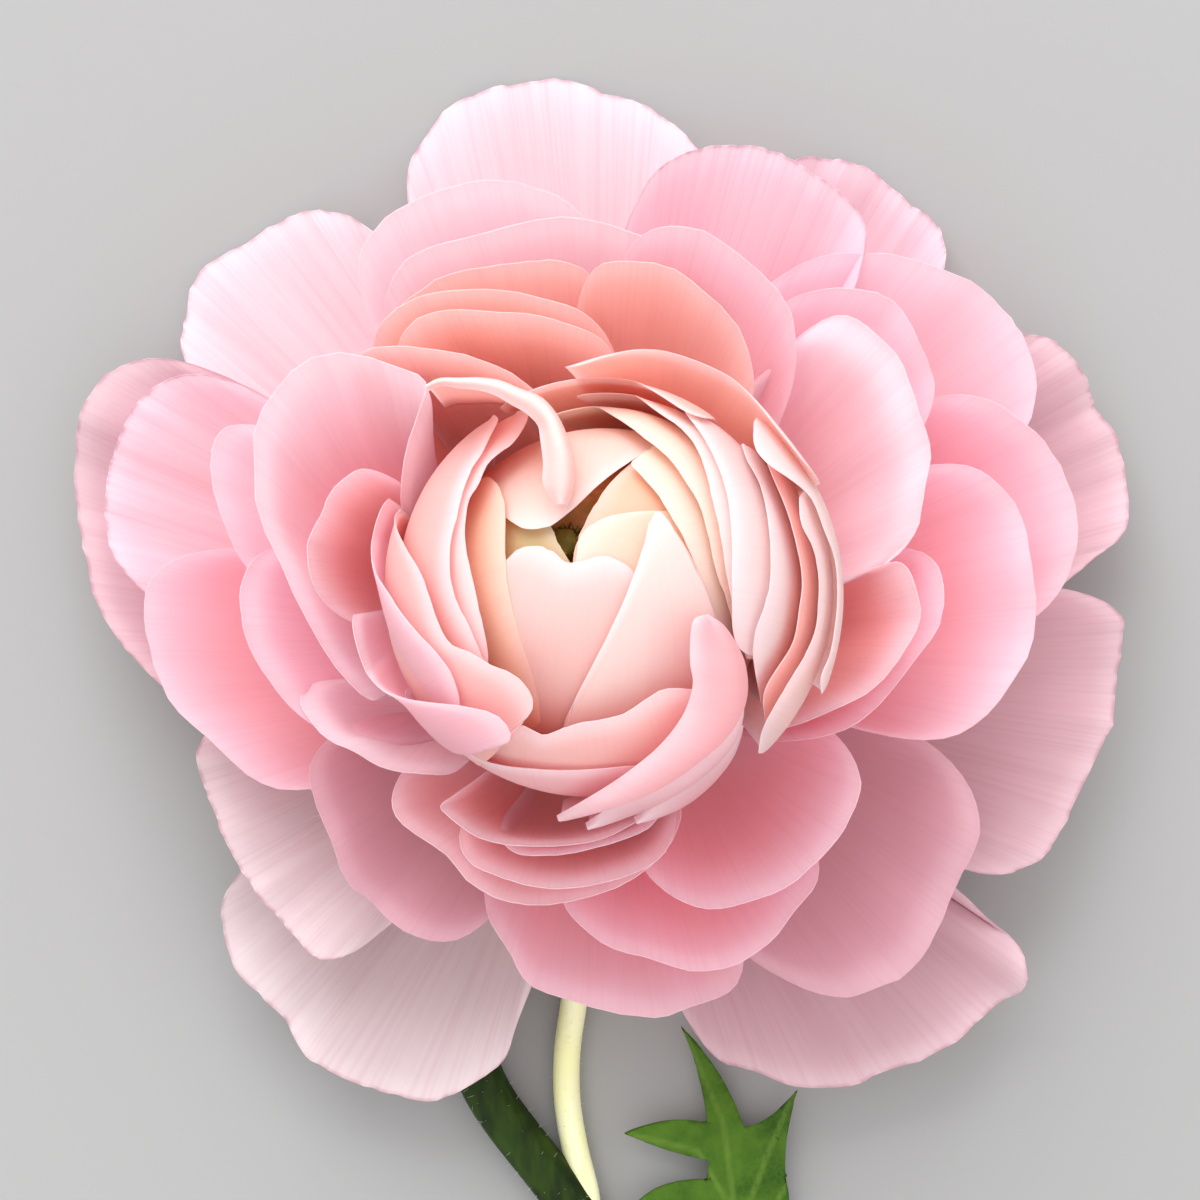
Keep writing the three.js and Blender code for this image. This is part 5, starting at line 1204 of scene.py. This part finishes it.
leaf_material, tree, shader, glow = new_material("leaf_blade", 0.5, 0.2, 0.15)
place = add_node(tree, "ShaderNodeTexCoord").outputs["Object"]
vein = add_node(tree, "ShaderNodeAttribute", attribute_name="from_vein").outputs["Fac"]
cells = add_node(tree, "ShaderNodeTexVoronoi", {"Vector": place, "Scale": 1400.0},
                 feature="DISTANCE_TO_EDGE").outputs["Distance"]
patches = noise(tree, place, 220.0, 3.0)
blade = mixed(tree, between(tree, patches, 0.3, 0.7), srgb(46, 86, 12), srgb(84, 126, 30))
blade = mixed(tree, between(tree, cells, 0.0, 0.18, 0.15, 0.0), blade, srgb(98, 140, 44))
blade = mixed(tree, between(tree, vein, 0.1, 0.5, 0.35, 0.0), blade, srgb(126, 162, 66))
relief = worked_out(tree, "ADD", worked_out(tree, "MULTIPLY", between(tree, cells, 0.0, 0.2), 0.5), patches)
bump = add_node(tree, "ShaderNodeBump", {"Height": relief, "Distance": 0.05 * MM, "Strength": 0.6})
tree.links.new(blade, shader.inputs["Base Color"])
tree.links.new(blade, glow.inputs["Color"])
tree.links.new(bump.outputs[0], shader.inputs["Normal"])
leaf = add_piece("leaf_blade", leaf_top, leaf_cells, leaf_material, ["leaf"], "leaf")
leaf.data.attributes.new("from_vein", "FLOAT", "POINT").data.foreach_set(
    "value", from_vein.astype(np.float32))
leaf_body = leaf.modifiers.new("blade", "SOLIDIFY")
leaf_body.thickness = LEAF_THICKNESS * MM
leaf_body.offset = 0.0

# -----------------------------------------------------------------------------
# Floor, light and camera
# A plain pale floor, soft light from above the top of the picture, and the photograph's own view:
# straight down on the bloom.
# -----------------------------------------------------------------------------
CAMERA_HEIGHT = 380.0
FOCAL_PIXELS = 3889.0
IMAGE_PIXELS = 1200.0
SENSOR_MM = 36.0
FLOOR_HALF = 2.5
LAMP_PLACE = (-300, 1150, 880)
LAMP_AIM = (0, 0, 30)
LAMP_SIZE = 1200
LAMP_WATTS = 18
SKY_COLOUR = (1.0, 0.985, 0.98, 1.0)
SKY_STRENGTH = 1.19

floor_mesh = bpy.data.meshes.new("floor")
floor_mesh.from_pydata([(-FLOOR_HALF, -FLOOR_HALF, 0), (FLOOR_HALF, -FLOOR_HALF, 0),
                        (FLOOR_HALF, FLOOR_HALF, 0), (-FLOOR_HALF, FLOOR_HALF, 0)], [], [(0, 1, 2, 3)])
floor = bpy.data.objects.new("floor", floor_mesh)
bpy.context.scene.collection.objects.link(floor)
floor_paint, *_ = new_material("floor_paint", 0.8, 0.2, Base_Color=srgb(167, 168, 168))
floor_mesh.materials.append(floor_paint)

lamp = bpy.data.lights.new("daylight", "AREA")
lamp.size = LAMP_SIZE * MM
lamp.energy = LAMP_WATTS
lamp_holder = bpy.data.objects.new("daylight", lamp)
bpy.context.scene.collection.objects.link(lamp_holder)
lamp_holder.location = (np.array(LAMP_PLACE) + BLOOM_PLACE) * MM
lamp_way = Vector(np.array(LAMP_AIM, float) - np.array(LAMP_PLACE))
lamp_holder.rotation_euler = lamp_way.to_track_quat("-Z", "Y").to_euler()

world = bpy.data.worlds.new("studio")
bpy.context.scene.world = world
world.use_nodes = True
world.node_tree.nodes["Background"].inputs["Color"].default_value = SKY_COLOUR
world.node_tree.nodes["Background"].inputs["Strength"].default_value = SKY_STRENGTH
bpy.context.scene.view_settings.view_transform = "Standard"
bpy.context.scene.cycles.diffuse_bounces = 8

lens = bpy.data.cameras.new("camera")
lens.sensor_width = SENSOR_MM
lens.lens = SENSOR_MM * FOCAL_PIXELS / IMAGE_PIXELS
camera = bpy.data.objects.new("camera", lens)
bpy.context.scene.collection.objects.link(camera)
camera.location = (BLOOM_PLACE + (0, 0, CAMERA_HEIGHT)) * MM
bpy.context.scene.camera = camera
